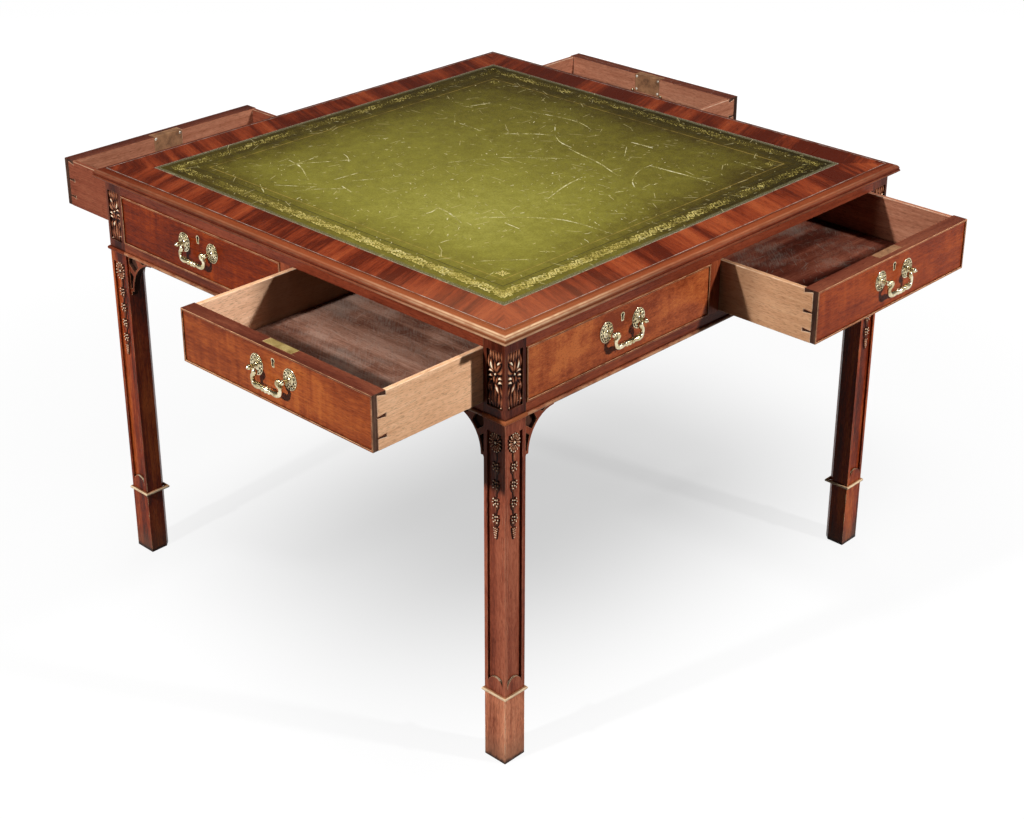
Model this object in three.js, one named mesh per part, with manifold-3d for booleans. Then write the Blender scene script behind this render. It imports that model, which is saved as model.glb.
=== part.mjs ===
import * as THREE from 'three';
import { mergeVertices } from 'three/addons/utils/BufferGeometryUtils.js';
import Module from 'manifold-3d';

// Library table with a leather top. Each side has one drawer and one blind front, so the
// four drawers turn round the middle like a pinwheel and never meet in the corners.
// Millimetres, Z up, origin on the floor under the middle of the top.
// A side is made once for the south (-Y) and turned by quarters for east, north and west.

// Whole table
const tableHeight = 775;
const topWidth = 1020;
const topOverhang = 15.5;
const fitGap = 0.3;
const cutOverrun = 5;

// Top
const topThickness = 22.5;
const mouldingWidth = 19.5;
const bandWidth = 59.5;
const leatherThickness = 1.5;
const mouldingShares = [
  [0, 0], [0.26, 0], [0.28, 0.06], [0.44, 0.08], [0.62, 0.12], [0.8, 0.2], [0.91, 0.32], [0.94, 0.44],
  [0.89, 0.48], [0.97, 0.53], [1, 0.6], [0.96, 0.68], [0.82, 0.72], [0.68, 0.82], [0.44, 0.88], [0.4, 1], [0, 1],
];

// Frieze
const friezeHeight = 132.5;
const railThickness = 22;
const lowerRailHeight = 22;
const upperRailHeight = 17.5;
const muntinWidth = 26;
const beadHeight = 7;
const beadProud = 4;
const beadRoot = 6;
const beadShares = [[0.55, 0], [0.9, 0.2], [1, 0.5], [0.9, 0.8], [0.55, 1]];

// Legs
const legWidth = 45;
const legChamfer = 11;
const panelDepth = 4;
const outerStile = 5.5;
const innerStile = 7;
const friezePanelLift = 22;
const friezePanelDrop = 16.5;
const legPanelDrop = 20;
const humpLift = 13;
const humpSteps = 10;
const collarLift = 125;
const collarHeight = 5.5;
const collarProud = 3.5;
const collarRoot = 6;
const collarShares = [[0.5, 0], [1, 0.3], [1, 0.7], [0.5, 1]];

// Fret brackets
const bracketRun = 74;
const bracketDrop = 79;
const bracketThickness = 14;
const bracketSetback = 4;
const bracketFootWidth = 5.5;
const bracketFootHeight = 9;
const bracketToeHeight = 3;
const bracketToeWidth = 7;
const bracketTipWidth = 10.5;
const bracketTipHeight = 6.2;
const arcSteps = 10;
const fretStrip = 4.2;
const fretMargin = 1.8;
const fretDepth = 7;
const fretCorner = 8;
const fretLegShares = [0.3, 0.18, 0.06];
const fretKiteShares = [0.56, 0.4];
const fretRailShares = [0.87, 0.8, 0.72];
const legBarShares = [0.225, 0.385];
const railBarShares = [0.28, 0.42];

// Fronts and drawers
const frontGap = 0.9;
const frontThickness = 25;
const blindThickness = 20;
const cockbeadWidth = 3.2;
const cockbeadProud = 2.2;
const drawerBackGap = 26.5;
const sideThickness = 9;
const sideTopDrop = 1.2;
const backTopDrop = 7;
const bottomLift = 6;
const bottomThickness = 6;
const grooveDepth = 5;
const lapThickness = 8;
const pinTip = 1.2;
const pinBase = 5;
const topPinTip = 3.6;
const topPinBase = 7.6;
const pinCentreShares = [0.42, 0.78];
const openingSouthNorth = 220;
const openingEastWest = 192;

// Guide frame inside
const guideBaseHeight = 18;
const guideRingWidth = 47;
const runnerWidth = 21;
const guideHeight = 40;

// Locks and keyholes
const lockWidth = 65;
const lockHeight = 37;
const lockPlate = 2;
const selvedgeWidth = 16;
const caseWidth = 42;
const caseHeight = 31;
const caseDepth = 11;
const keyRound = 2;
const keySlotWidth = 2;
const keySlotDrop = 7.5;
const keyDrop = 18.5;
const keyBlindDepth = 12;
const keySteps = 8;

// Handles
const postSpacing = 76;
const postDrop = 36.5;
const shankRadius = 2.2;
const roseWidth = 30;
const roseHeight = 36;
const roseThickness = 2.6;
const rosePlateShare = 0.45;
const roseDomeShare = 0.5;
const roseSides = 12;
const postSides = 6;
const postBaseRadius = 4.4;
const postBaseLength = 2.2;
const postNeckRadius = 2.7;
const headRadius = 4.3;
const headCentre = 14.5;
const headShares = [[0.7, -1], [1, -0.42], [1, 0.42], [0.7, 0.9], [0.36, 1]];
const buttonLength = 1.6;
const nutRadius = 4.1;
const nutLength = 3.6;
const nutShoulderShare = 0.5;
const nutCrownShare = 0.6;
const pinRadius = 1.5;
const boreRadius = 1.9;
const boreSides = 6;
const bailDrop = 24.5;
const bailPinReach = 2.2;
const bailThickness = 6.4;
const bailSides = 6;
// Half of the bail from beside its post to the middle: place across as a share of half the
// spacing, drop as a share of the whole drop, thickness as a share of the thickest swelling.
const bailShares = [
  [0.86, 0, 0.47], [0.8, 0.01, 0.74], [0.735, 0.06, 0.92], [0.7, 0.18, 1], [0.74, 0.31, 0.92],
  [0.815, 0.42, 0.72], [0.845, 0.57, 0.62], [0.83, 0.74, 0.64], [0.775, 0.9, 0.76], [0.68, 0.985, 0.88],
  [0.54, 1, 0.98], [0.38, 1, 0.8], [0.26, 1, 0.72], [0.2, 1, 1.02], [0.14, 1, 0.74], [0, 1, 1.16],
];

const half = 2;
const topHalf = topWidth / half;
const friezeHalf = topHalf - topOverhang;
const postInner = friezeHalf - legWidth;
const topUnderside = tableHeight - topThickness;
const carcassTop = topUnderside - fitGap;
const friezeBottom = topUnderside - friezeHeight;
const openingBottom = friezeBottom + lowerRailHeight;
const openingTop = topUnderside - upperRailHeight;
const muntinHalf = muntinWidth / half;
const drawerDepth = friezeHalf - muntinHalf - drawerBackGap;
const frontLeft = muntinHalf + frontGap;
const frontRight = postInner - frontGap;
const frontMiddle = (frontLeft + frontRight) / half;
const frontBottom = openingBottom + frontGap;
const frontTop = openingTop - frontGap;
const guideOuter = friezeHalf - railThickness - fitGap;
const guideNotch = postInner - fitGap;
const sideBottom = openingBottom + fitGap;
const sideTop = frontTop - sideTopDrop;
const sideHeight = sideTop - sideBottom;
const postHeight = frontTop - postDrop;

const wasm = await Module();
wasm.setup();

const mahogany = new THREE.MeshStandardMaterial({ color: 0x6b2e17, roughness: 0.34, metalness: 0 });
const darkMahogany = new THREE.MeshStandardMaterial({ color: 0x4e2012, roughness: 0.45, metalness: 0 });
const drawerWood = new THREE.MeshStandardMaterial({ color: 0xa06a42, roughness: 0.62, metalness: 0 });
const hide = new THREE.MeshStandardMaterial({ color: 0x55601c, roughness: 0.5, metalness: 0 });
const brass = new THREE.MeshStandardMaterial({ color: 0xc6a866, roughness: 0.3, metalness: 1 });

const table = new THREE.Group();
table.name = 'library_table';

function solidOf(geometry) {
  geometry.deleteAttribute('normal');
  geometry.deleteAttribute('uv');
  const merged = mergeVertices(geometry);
  const places = merged.getAttribute('position').array;
  const kept = [];
  const corners = merged.index.array;
  for (let i = 0; i < corners.length; i += 3) {
    const [a, b, c] = [corners[i], corners[i + 1], corners[i + 2]];
    if (a !== b && b !== c && c !== a) {
      kept.push(a, b, c);
    }
  }
  return new wasm.Manifold(new wasm.Mesh({
    numProp: 3, vertProperties: new Float32Array(places), triVerts: new Uint32Array(kept),
  }));
}

function geometryOf(solid) {
  const made = solid.getMesh();
  const geometry = new THREE.BufferGeometry();
  geometry.setAttribute('position', new THREE.BufferAttribute(new Float32Array(made.vertProperties), 3));
  geometry.setIndex(new THREE.BufferAttribute(new Uint32Array(made.triVerts), 1));
  geometry.computeVertexNormals();
  return geometry;
}

function place(name, solid, material, quarter) {
  const mesh = new THREE.Mesh(geometryOf(solid), material.clone());
  mesh.name = name;
  mesh.rotation.z = quarter * Math.PI / half;
  table.add(mesh);
}

function block(x0, x1, y0, y1, z0, z1) {
  const geometry = new THREE.BoxGeometry(x1 - x0, y1 - y0, z1 - z0);
  geometry.translate((x0 + x1) / half, (y0 + y1) / half, (z0 + z1) / half);
  return solidOf(geometry);
}

// A prism on an outline of (across, up) points. The basis says where across, up and deep run.
function prism(outline, depth, across, up, origin) {
  const shape = new THREE.Shape(outline.map(([a, b]) => new THREE.Vector2(a, b)));
  const geometry = new THREE.ExtrudeGeometry(shape, { depth, bevelEnabled: false });
  const deep = new THREE.Vector3().crossVectors(across, up);
  geometry.applyMatrix4(new THREE.Matrix4().makeBasis(across, up, deep).setPosition(origin));
  return solidOf(geometry);
}

const alongX = new THREE.Vector3(1, 0, 0);
const alongY = new THREE.Vector3(0, 1, 0);
const alongZ = new THREE.Vector3(0, 0, 1);

// A four-sided turned ring gives a square frame with mitred corners: points are (half width, height).
function squareRing(profile, x, y) {
  const reach = Math.SQRT2;
  const points = profile.map(([r, z]) => new THREE.Vector2(r * reach, z));
  points.push(points[0].clone());
  const geometry = new THREE.LatheGeometry(points, 4);
  geometry.rotateY(Math.PI / 4);
  geometry.rotateX(Math.PI / half);
  geometry.translate(x, y, 0);
  return solidOf(geometry);
}

// A turned solid round an axis that leaves the south face: points are (radius, reach from the face).
function turned(profile, sides, x, face, z, wide, tall) {
  const points = profile.map(([r, t]) => new THREE.Vector2(r, t));
  const geometry = new THREE.LatheGeometry(points, sides);
  geometry.scale(wide, 1, tall);
  geometry.rotateX(Math.PI);
  geometry.translate(x, -face, z);
  return solidOf(geometry);
}

// Top board, edge moulding and leather
const mouldingInner = topHalf - mouldingWidth;
const boardHalf = mouldingInner - fitGap;
const leatherHalf = mouldingInner - bandWidth;
const leatherBed = tableHeight - leatherThickness - fitGap;
const topBoard = block(-boardHalf, boardHalf, -boardHalf, boardHalf, topUnderside, tableHeight)
  .subtract(block(
    -leatherHalf - fitGap, leatherHalf + fitGap, -leatherHalf - fitGap, leatherHalf + fitGap,
    leatherBed, tableHeight + cutOverrun,
  ));
place('top_board', topBoard, mahogany, 0);
const mouldingOutline = mouldingShares.map(([out, down]) => [
  mouldingInner + out * mouldingWidth, tableHeight - down * topThickness,
]).reverse();
place('edge_moulding', squareRing(mouldingOutline, 0, 0), mahogany, 0);
place('leather_top', block(
  -leatherHalf, leatherHalf, -leatherHalf, leatherHalf, leatherBed + fitGap, tableHeight,
), hide, 0);

// The frieze bead runs round the whole table and is shared out between legs and rails.
const beadOutline = [
  [friezeHalf - beadRoot, friezeBottom],
  ...beadShares.map(([out, up]) => [friezeHalf + out * beadProud, friezeBottom + up * beadHeight]),
  [friezeHalf - beadRoot, friezeBottom + beadHeight],
];
const beadRing = squareRing(beadOutline, 0, 0);

// Legs
function humpPoints(left, right, chord) {
  const middle = (left + right) / half;
  const radius = (right - left) / half;
  const points = [];
  for (let i = 0; i <= humpSteps; i += 1) {
    const turn = Math.PI * i / humpSteps;
    points.push([middle + radius * Math.cos(turn), chord + radius * Math.sin(turn)]);
  }
  return points;
}

function makeLeg() {
  const outer = friezeHalf;
  const inner = postInner;
  const centre = (outer + inner) / half;
  let leg = block(inner, outer, -outer, -inner, 0, carcassTop);
  const collarOutline = [
    [legWidth / half - collarRoot, collarLift],
    ...collarShares.map(([out, up]) => [legWidth / half + out * collarProud, collarLift + up * collarHeight]),
    [legWidth / half - collarRoot, collarLift + collarHeight],
  ];
  leg = leg.add(squareRing(collarOutline, centre, -centre));
  const reach = outer + beadProud + cutOverrun;
  leg = leg.add(beadRing.intersect(block(inner, reach, -reach, -inner, 0, tableHeight)));
  const corner = [[inner - cutOverrun, -inner + cutOverrun], [inner - cutOverrun, -inner - legChamfer - cutOverrun],
    [inner + legChamfer + cutOverrun, -inner + cutOverrun]];
  leg = leg.subtract(prism(corner, tableHeight + cutOverrun, alongX, alongY, new THREE.Vector3(0, 0, -cutOverrun)));
  const left = innerStile;
  const right = legWidth - outerStile;
  const chord = collarLift + collarHeight + humpLift;
  const legPanelTop = friezeBottom - legPanelDrop;
  const legPanel = [[left, legPanelTop], [right, legPanelTop], ...humpPoints(left, right, chord)];
  const panelBottom = friezeBottom + friezePanelLift;
  const panelTop = topUnderside - friezePanelDrop;
  const friezePanel = [[left, panelBottom], [right, panelBottom], [right, panelTop], [left, panelTop]];
  for (const outline of [legPanel, friezePanel]) {
    const depth = panelDepth + cutOverrun;
    leg = leg.subtract(prism(outline, depth, alongX, alongZ, new THREE.Vector3(inner, -outer + panelDepth, 0)));
    const turnedOutline = outline.map(([a, b]) => [-a, b]);
    leg = leg.subtract(prism(turnedOutline, depth, alongY, alongZ, new THREE.Vector3(outer - panelDepth, -inner, 0)));
  }
  return leg;
}

// Fret bracket: outline in run along the rail and drop below it, with three sunk pockets between its bars.
function bracketOutlines() {
  const arcRun = bracketRun - bracketToeWidth - bracketTipWidth;
  const arcDrop = bracketDrop - bracketFootHeight - bracketTipHeight;
  const arcAt = (turn, inset) => [
    bracketRun - bracketToeWidth - (arcRun + inset) * Math.cos(turn),
    bracketDrop - bracketFootHeight - (arcDrop + inset) * Math.sin(turn),
  ];
  const arc = [];
  for (let i = 0; i <= arcSteps; i += 1) {
    arc.push(arcAt(Math.PI / half * i / arcSteps, 0));
  }
  const outline = [
    [fitGap, fitGap], [fitGap, bracketDrop], [bracketFootWidth / half, bracketDrop],
    [bracketFootWidth, bracketDrop - bracketFootHeight],
    ...arc,
    [bracketRun - bracketToeWidth, bracketToeHeight], [bracketRun, bracketToeHeight / half], [bracketRun, fitGap],
  ];
  const inside = (shares) => shares.map((share) => arcAt(Math.PI / half * share, fretStrip));
  const [kiteLeg, sliverLeg] = legBarShares.map((share) => share * bracketDrop);
  const [kiteRail, sliverRail] = railBarShares.map((share) => share * bracketRun);
  const legTip = inside(fretLegShares).pop();
  const railTip = inside(fretRailShares)[0];
  const legSliver = [[fretMargin, sliverLeg], ...inside(fretLegShares), [fretMargin, legTip[1] + fretMargin]];
  const kite = [
    [fretCorner, fretMargin], [kiteRail, fretMargin], ...inside(fretKiteShares), [fretMargin, kiteLeg],
    [fretMargin, fretCorner],
  ];
  const railSliver = [[sliverRail, fretMargin], [railTip[0] + fretMargin, fretMargin], ...inside(fretRailShares)];
  return [outline, [legSliver, kite, railSliver]];
}

function makeBracket(hand) {
  const [outline, pockets] = bracketOutlines();
  const start = new THREE.Vector3(-hand * postInner, -friezeHalf + bracketSetback + bracketThickness, friezeBottom);
  const flip = (points) => points.map(([run, drop]) => [hand * run, -drop]);
  let bracket = prism(flip(outline), bracketThickness, alongX, alongZ, start);
  const ground = start.clone().setY(-friezeHalf + bracketSetback + fretDepth);
  for (const pocket of pockets) {
    bracket = bracket.subtract(prism(flip(pocket), fretDepth + cutOverrun, alongX, alongZ, ground));
  }
  return bracket;
}

// Rail frame: upper rail, lower rail with its bead, and the muntin between the two fronts.
function makeRailFrame() {
  const end = postInner - fitGap;
  const back = -friezeHalf + railThickness;
  const reach = friezeHalf + beadProud + cutOverrun;
  return block(-end, end, -friezeHalf, back, openingTop, carcassTop)
    .add(block(-muntinHalf, muntinHalf, -friezeHalf, back, friezeBottom, carcassTop))
    .add(block(-end, end, -friezeHalf, back, friezeBottom, openingBottom))
    .add(beadRing.intersect(block(-end, end, -reach, back, 0, tableHeight)));
}

// Guide frame: runners on a ring and a cross, dividers on the cross, guides beside each drawer.
function makeGuideFrame() {
  const low = openingBottom - guideBaseHeight;
  let frame = block(-guideOuter, guideOuter, -guideNotch, guideNotch, low, openingBottom)
    .add(block(-guideNotch, guideNotch, -guideOuter, guideOuter, low, openingBottom));
  const windowInner = muntinHalf + runnerWidth;
  const windowOuter = guideOuter - guideRingWidth;
  for (const [x, y] of [[1, 1], [1, -1], [-1, 1], [-1, -1]]) {
    const [x0, x1] = [x * windowInner, x * windowOuter].sort((a, b) => a - b);
    const [y0, y1] = [y * windowInner, y * windowOuter].sort((a, b) => a - b);
    frame = frame.subtract(block(x0, x1, y0, y1, low - cutOverrun, openingBottom + cutOverrun));
  }
  frame = frame
    .add(block(-guideOuter, guideOuter, -muntinHalf, muntinHalf, low, carcassTop))
    .add(block(-muntinHalf, muntinHalf, -guideOuter, guideOuter, low, carcassTop));
  const top = openingBottom + guideHeight;
  return frame
    .add(block(-guideNotch, 0, -guideOuter, -guideNotch, low, top))
    .add(block(guideNotch, guideOuter, -guideNotch, 0, low, top))
    .add(block(0, guideNotch, guideNotch, guideOuter, low, top))
    .add(block(-guideOuter, -guideNotch, 0, guideNotch, low, top));
}

// Lapped dovetails, as distance behind the front face and height. The inset leaves the fit gap.
function tailOutline(inset, bottom, rear) {
  const tailEnd = lapThickness + inset;
  const shoulder = frontThickness + inset;
  const points = [[rear, bottom], [tailEnd, bottom]];
  for (const share of [...pinCentreShares].reverse()) {
    const centre = sideTop - share * sideHeight;
    const tip = pinTip / half + inset;
    const base = pinBase / half + inset;
    points.push([tailEnd, centre - tip], [shoulder, centre - base], [shoulder, centre + base], [tailEnd, centre + tip]);
  }
  points.push([tailEnd, frontTop - topPinTip - inset], [shoulder, frontTop - topPinBase - inset]);
  points.push([shoulder, sideTop], [rear, sideTop]);
  return points;
}

function keyhole(x, face, depth) {
  const z = frontTop - keyDrop;
  const points = [];
  const width = keySlotWidth / half;
  const low = Math.asin(width / keyRound);
  for (let i = 0; i <= keySteps; i += 1) {
    const turn = -Math.PI / half + low + (Math.PI - low) * half * i / keySteps;
    points.push([x + keyRound * Math.cos(turn), z + keyRound * Math.sin(turn)]);
  }
  points.push([x - width, z - keySlotDrop], [x + width, z - keySlotDrop]);
  const start = new THREE.Vector3(0, -face + depth, 0);
  return prism(points, depth + cutOverrun, alongX, alongZ, start);
}

// A front board with its cockbead, bored for the two handle posts. It runs from left to right.
function makeFront(left, right, face, thickness, keyDepth) {
  const middle = (left + right) / half;
  let front = block(left, right, -face - cockbeadProud, -face + thickness, frontBottom, frontTop)
    .subtract(block(
      left + cockbeadWidth, right - cockbeadWidth, -face - cockbeadProud - cutOverrun, -face,
      frontBottom + cockbeadWidth, frontTop - cockbeadWidth,
    ));
  const bore = shankRadius + fitGap;
  const through = [[0, -thickness - cutOverrun], [bore, -thickness - cutOverrun], [bore, cutOverrun], [0, cutOverrun]];
  for (const side of [-1, 1]) {
    const x = middle + side * postSpacing / half;
    front = front.subtract(turned(through, boreSides, x, face, postHeight, 1, 1));
  }
  return front.subtract(keyhole(middle, face, keyDepth));
}

function lockBlocks(face, inset) {
  const inner = -face + frontThickness;
  const top = frontTop + (inset ? cutOverrun : 0);
  const back = inner + (inset ? cutOverrun : 0);
  const wide = lockWidth / half + inset;
  const caseHalf = caseWidth / half + inset;
  return block(frontMiddle - wide, frontMiddle + wide, inner - lockPlate - inset, back, frontTop - lockHeight - inset, top)
    .add(block(
      frontMiddle - wide, frontMiddle + wide, inner - selvedgeWidth - inset, back, frontTop - lockPlate - inset, top,
    ))
    .add(block(
      frontMiddle - caseHalf, frontMiddle + caseHalf, inner - lockPlate - caseDepth - inset, back,
      frontTop - caseHeight - inset, top,
    ));
}

function makeDrawerFace(face) {
  const keyDepth = frontThickness - lockPlate - caseDepth;
  let front = makeFront(frontLeft, frontRight, face, frontThickness, keyDepth).subtract(lockBlocks(face, fitGap));
  const socket = tailOutline(0, frontBottom - cutOverrun, frontThickness + cutOverrun)
    .map(([depth, z]) => [-face + depth, z]);
  const across = sideThickness + fitGap;
  front = front
    .subtract(prism(socket, across + cutOverrun, alongY, alongZ, new THREE.Vector3(frontLeft - cutOverrun, 0, 0)))
    .subtract(prism(socket, across + cutOverrun, alongY, alongZ, new THREE.Vector3(frontRight - across, 0, 0)));
  const inner = -face + frontThickness;
  const low = sideBottom + bottomLift;
  return front.subtract(block(
    frontLeft + sideThickness - fitGap, frontRight - sideThickness + fitGap, inner - grooveDepth, inner + cutOverrun,
    low - fitGap, low + bottomThickness + fitGap,
  ));
}

function makeDrawerBox(face) {
  const outline = tailOutline(fitGap, sideBottom, drawerDepth).map(([depth, z]) => [-face + depth, z]);
  const left = prism(outline, sideThickness, alongY, alongZ, new THREE.Vector3(frontLeft, 0, 0));
  const right = prism(outline, sideThickness, alongY, alongZ, new THREE.Vector3(frontRight - sideThickness, 0, 0));
  const low = sideBottom + bottomLift;
  const rear = -face + drawerDepth;
  const front = -face + frontThickness - grooveDepth + fitGap;
  const housed = sideThickness / half;
  const bottom = block(
    frontLeft + sideThickness, frontRight - sideThickness, front, rear - housed, low, low + bottomThickness,
  ).add(block(frontLeft + housed, frontRight - housed, -face + frontThickness + fitGap, rear - housed, low, low + bottomThickness));
  const back = block(
    frontLeft + housed, frontRight - housed, rear - sideThickness, rear, low, sideTop - backTopDrop,
  );
  return left.add(right).add(bottom).add(back);
}

// Handle post with its oval rose outside and its nut inside the front.
function makePost(x, face, thickness) {
  const oval = [
    [0, 0], [roseWidth / half, 0], [roseWidth / half, roseThickness * rosePlateShare],
    [roseWidth * roseDomeShare * roseDomeShare, roseThickness], [0, roseThickness],
  ];
  const rose = turned(oval, roseSides, x, face, postHeight, 1, roseHeight / roseWidth);
  const inside = -thickness - fitGap;
  const headFrom = headCentre - headRadius;
  const stem = [
    [0, inside - nutLength], [nutRadius * nutCrownShare, inside - nutLength],
    [nutRadius, inside - nutLength * nutShoulderShare], [nutRadius, inside], [shankRadius, inside],
    [shankRadius, roseThickness / half], [postBaseRadius, roseThickness / half],
    [postBaseRadius, roseThickness + postBaseLength], [postNeckRadius, roseThickness + postBaseLength + postNeckRadius],
    [postNeckRadius, headFrom],
    ...headShares.map(([out, along]) => [out * headRadius, headCentre + along * headRadius]),
    [headRadius * headShares[4][0], headCentre + headRadius + buttonLength], [0, headCentre + headRadius + buttonLength],
  ];
  const post = turned(stem, postSides, x, face, postHeight, 1, 1);
  const bore = new THREE.CylinderGeometry(boreRadius, boreRadius, headRadius * half + cutOverrun, boreSides);
  bore.rotateZ(Math.PI / half);
  bore.translate(x, -face - headCentre, postHeight);
  return rose.add(post).subtract(solidOf(bore));
}

// Swan-neck bail: rings of changing thickness along the outline, from one post to the other.
function makeBail(middle, face) {
  const reach = postSpacing / half;
  const halfRings = [
    [reach + bailPinReach, 0, pinRadius],
    ...bailShares.map(([across, drop, thick]) => [across * reach, drop * bailDrop, thick * bailThickness / half]),
  ];
  halfRings[1][2] = pinRadius;
  const rings = [...halfRings, ...halfRings.slice(0, -1).reverse().map(([a, d, r]) => [-a, d, r])];
  const places = [];
  const corners = [];
  const centreAt = ([across, drop]) => new THREE.Vector3(middle + across, -face - headCentre, postHeight - drop);
  rings.forEach((ring, i) => {
    const before = centreAt(rings[Math.max(i - 1, 0)]);
    const after = centreAt(rings[Math.min(i + 1, rings.length - 1)]);
    const along = after.sub(before).normalize();
    const outward = new THREE.Vector3().crossVectors(along, alongY);
    const centre = centreAt(ring);
    for (let s = 0; s < bailSides; s += 1) {
      const turn = Math.PI * half * (s + 1 / half) / bailSides;
      const point = centre.clone()
        .addScaledVector(outward, ring[2] * Math.cos(turn))
        .addScaledVector(alongY, ring[2] * Math.sin(turn));
      places.push(point.x, point.y, point.z);
    }
  });
  for (let i = 0; i + 1 < rings.length; i += 1) {
    for (let s = 0; s < bailSides; s += 1) {
      const a = i * bailSides + s;
      const b = i * bailSides + (s + 1) % bailSides;
      corners.push(a, b + bailSides, b, a, a + bailSides, b + bailSides);
    }
  }
  const last = (rings.length - 1) * bailSides;
  for (let s = 1; s + 1 < bailSides; s += 1) {
    corners.push(0, s, s + 1, last, last + s + 1, last + s);
  }
  const geometry = new THREE.BufferGeometry();
  geometry.setAttribute('position', new THREE.BufferAttribute(new Float32Array(places), 3));
  geometry.setIndex(corners);
  return solidOf(geometry);
}

// The four sides
const leg = makeLeg();
const railFrame = makeRailFrame();
const blindFront = makeFront(-frontRight, -frontLeft, friezeHalf, blindThickness, keyBlindDepth);
const sides = [
  ['south', 'southeast', openingSouthNorth], ['east', 'northeast', openingEastWest],
  ['north', 'northwest', openingSouthNorth], ['west', 'southwest', openingEastWest],
];
place('guide_frame', makeGuideFrame(), darkMahogany, 0);
sides.forEach(([side, corner, opening], quarter) => {
  const openFace = friezeHalf + opening;
  place(`leg_${corner}`, leg, mahogany, quarter);
  place(`bracket_${side}_left`, makeBracket(1), mahogany, quarter);
  place(`bracket_${side}_right`, makeBracket(-1), mahogany, quarter);
  place(`rail_frame_${side}`, railFrame, mahogany, quarter);
  place(`blind_front_${side}`, blindFront, mahogany, quarter);
  place(`drawer_face_${side}`, makeDrawerFace(openFace), mahogany, quarter);
  place(`drawer_box_${side}`, makeDrawerBox(openFace), drawerWood, quarter);
  place(`lock_${side}`, lockBlocks(openFace, 0), brass, quarter);
  for (const [kind, middle, face, thickness] of [
    ['blind', -frontMiddle, friezeHalf, blindThickness], ['drawer', frontMiddle, openFace, frontThickness],
  ]) {
    place(`rose_${kind}_${side}_left`, makePost(middle - postSpacing / half, face, thickness), brass, quarter);
    place(`rose_${kind}_${side}_right`, makePost(middle + postSpacing / half, face, thickness), brass, quarter);
    place(`bail_${kind}_${side}`, makeBail(middle, face), brass, quarter);
  }
});

export default table;
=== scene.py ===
import math

import bmesh
import bpy
import numpy as np
from mathutils import Matrix, Vector


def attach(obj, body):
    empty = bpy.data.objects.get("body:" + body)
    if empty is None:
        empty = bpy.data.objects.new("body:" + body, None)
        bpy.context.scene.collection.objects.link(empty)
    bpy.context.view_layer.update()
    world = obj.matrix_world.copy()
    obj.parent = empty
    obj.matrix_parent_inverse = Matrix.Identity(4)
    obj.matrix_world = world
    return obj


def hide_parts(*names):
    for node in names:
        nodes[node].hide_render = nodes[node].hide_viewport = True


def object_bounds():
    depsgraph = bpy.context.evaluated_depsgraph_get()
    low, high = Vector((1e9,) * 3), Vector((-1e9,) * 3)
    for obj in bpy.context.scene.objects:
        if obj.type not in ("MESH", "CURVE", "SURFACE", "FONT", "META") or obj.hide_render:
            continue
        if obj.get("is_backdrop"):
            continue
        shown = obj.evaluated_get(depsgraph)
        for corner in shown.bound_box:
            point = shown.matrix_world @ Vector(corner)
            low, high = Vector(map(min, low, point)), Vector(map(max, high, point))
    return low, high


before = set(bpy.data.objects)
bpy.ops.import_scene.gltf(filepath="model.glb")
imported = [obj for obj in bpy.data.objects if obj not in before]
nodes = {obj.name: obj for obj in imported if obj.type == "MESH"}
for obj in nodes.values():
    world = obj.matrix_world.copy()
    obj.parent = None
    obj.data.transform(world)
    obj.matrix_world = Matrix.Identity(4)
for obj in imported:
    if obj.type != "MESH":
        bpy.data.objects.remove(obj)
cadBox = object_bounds()
print("frame loaded")

# metres; the south side faces -Y, and east, north and west are quarter turns of it
sides = {"south": 0, "east": 1, "north": 2, "west": 3}
corners = ["southeast", "northeast", "northwest", "southwest"]
cornerSigns = [(1, -1), (1, 1), (-1, 1), (-1, -1)]
pulledOut = {"south": 0.220, "east": 0.192, "north": 0.220, "west": 0.192}
mm = 0.001
tableHeight = 0.775
friezeHalf = 0.4945
frontMiddle = 0.23125                                  # of a drawer; the blind fronts lie on the other hand


def quarterTurn(quarter, size=4):
    return Matrix.Rotation(quarter * math.pi / 2, size, "Z")


def turnSteps(count, start=0.0):                       # the angles of a full turn in equal steps
    return [2 * math.pi * (k + start) / count for k in range(count)]


# camera and lamps

cameraFit = {
    "azimuth": 43.6994, "elevation": 25.1329, "roll": 0.1063, "focalPixels": 1911.79,
    "middleRow": 337.82, "place": (2.23743, -2.30392, 1.94277), "imageWidth": 1024, "halfRows": 409.5,
}


def makeCamera(fit):
    a, e, r = (math.radians(fit[key]) for key in ("azimuth", "elevation", "roll"))
    back = Vector((math.sin(a) * math.cos(e), -math.cos(a) * math.cos(e), math.sin(e)))
    right = Vector((math.cos(a), math.sin(a), 0))
    up = back.cross(right)
    right, up = right * math.cos(r) + up * math.sin(r), up * math.cos(r) - right * math.sin(r)
    data = bpy.data.cameras.new("photoCamera")
    data.sensor_fit = "HORIZONTAL"
    data.sensor_width = 36
    data.lens = fit["focalPixels"] / fit["imageWidth"] * data.sensor_width
    data.shift_y = (fit["middleRow"] - fit["halfRows"]) / fit["imageWidth"]
    data.clip_end = 60
    camera = bpy.data.objects.new("photoCamera", data)
    bpy.context.collection.objects.link(camera)
    turn = Matrix((right, up, back)).transposed().to_4x4()
    camera.matrix_world = Matrix.Translation(fit["place"]) @ turn
    bpy.context.scene.camera = camera


lampTarget = Vector((0, 0, 0.5))
lampPlan = {
    "frontKey": {"place": (-0.20, -3.45, 2.40), "size": (0.14, 0.14), "power": 140},
    "sideKey": {"place": (3.12, 0.93, 2.45), "size": (0.18, 0.18), "power": 126},
    "overhead": {"place": (0.15, -0.75, 3.40), "size": (0.9, 0.9), "power": 21},
    "backFill": {"place": (-2.6, 2.6, 1.0), "size": (1.8, 1.0), "power": 55, "mirrored": False},
}


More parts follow.
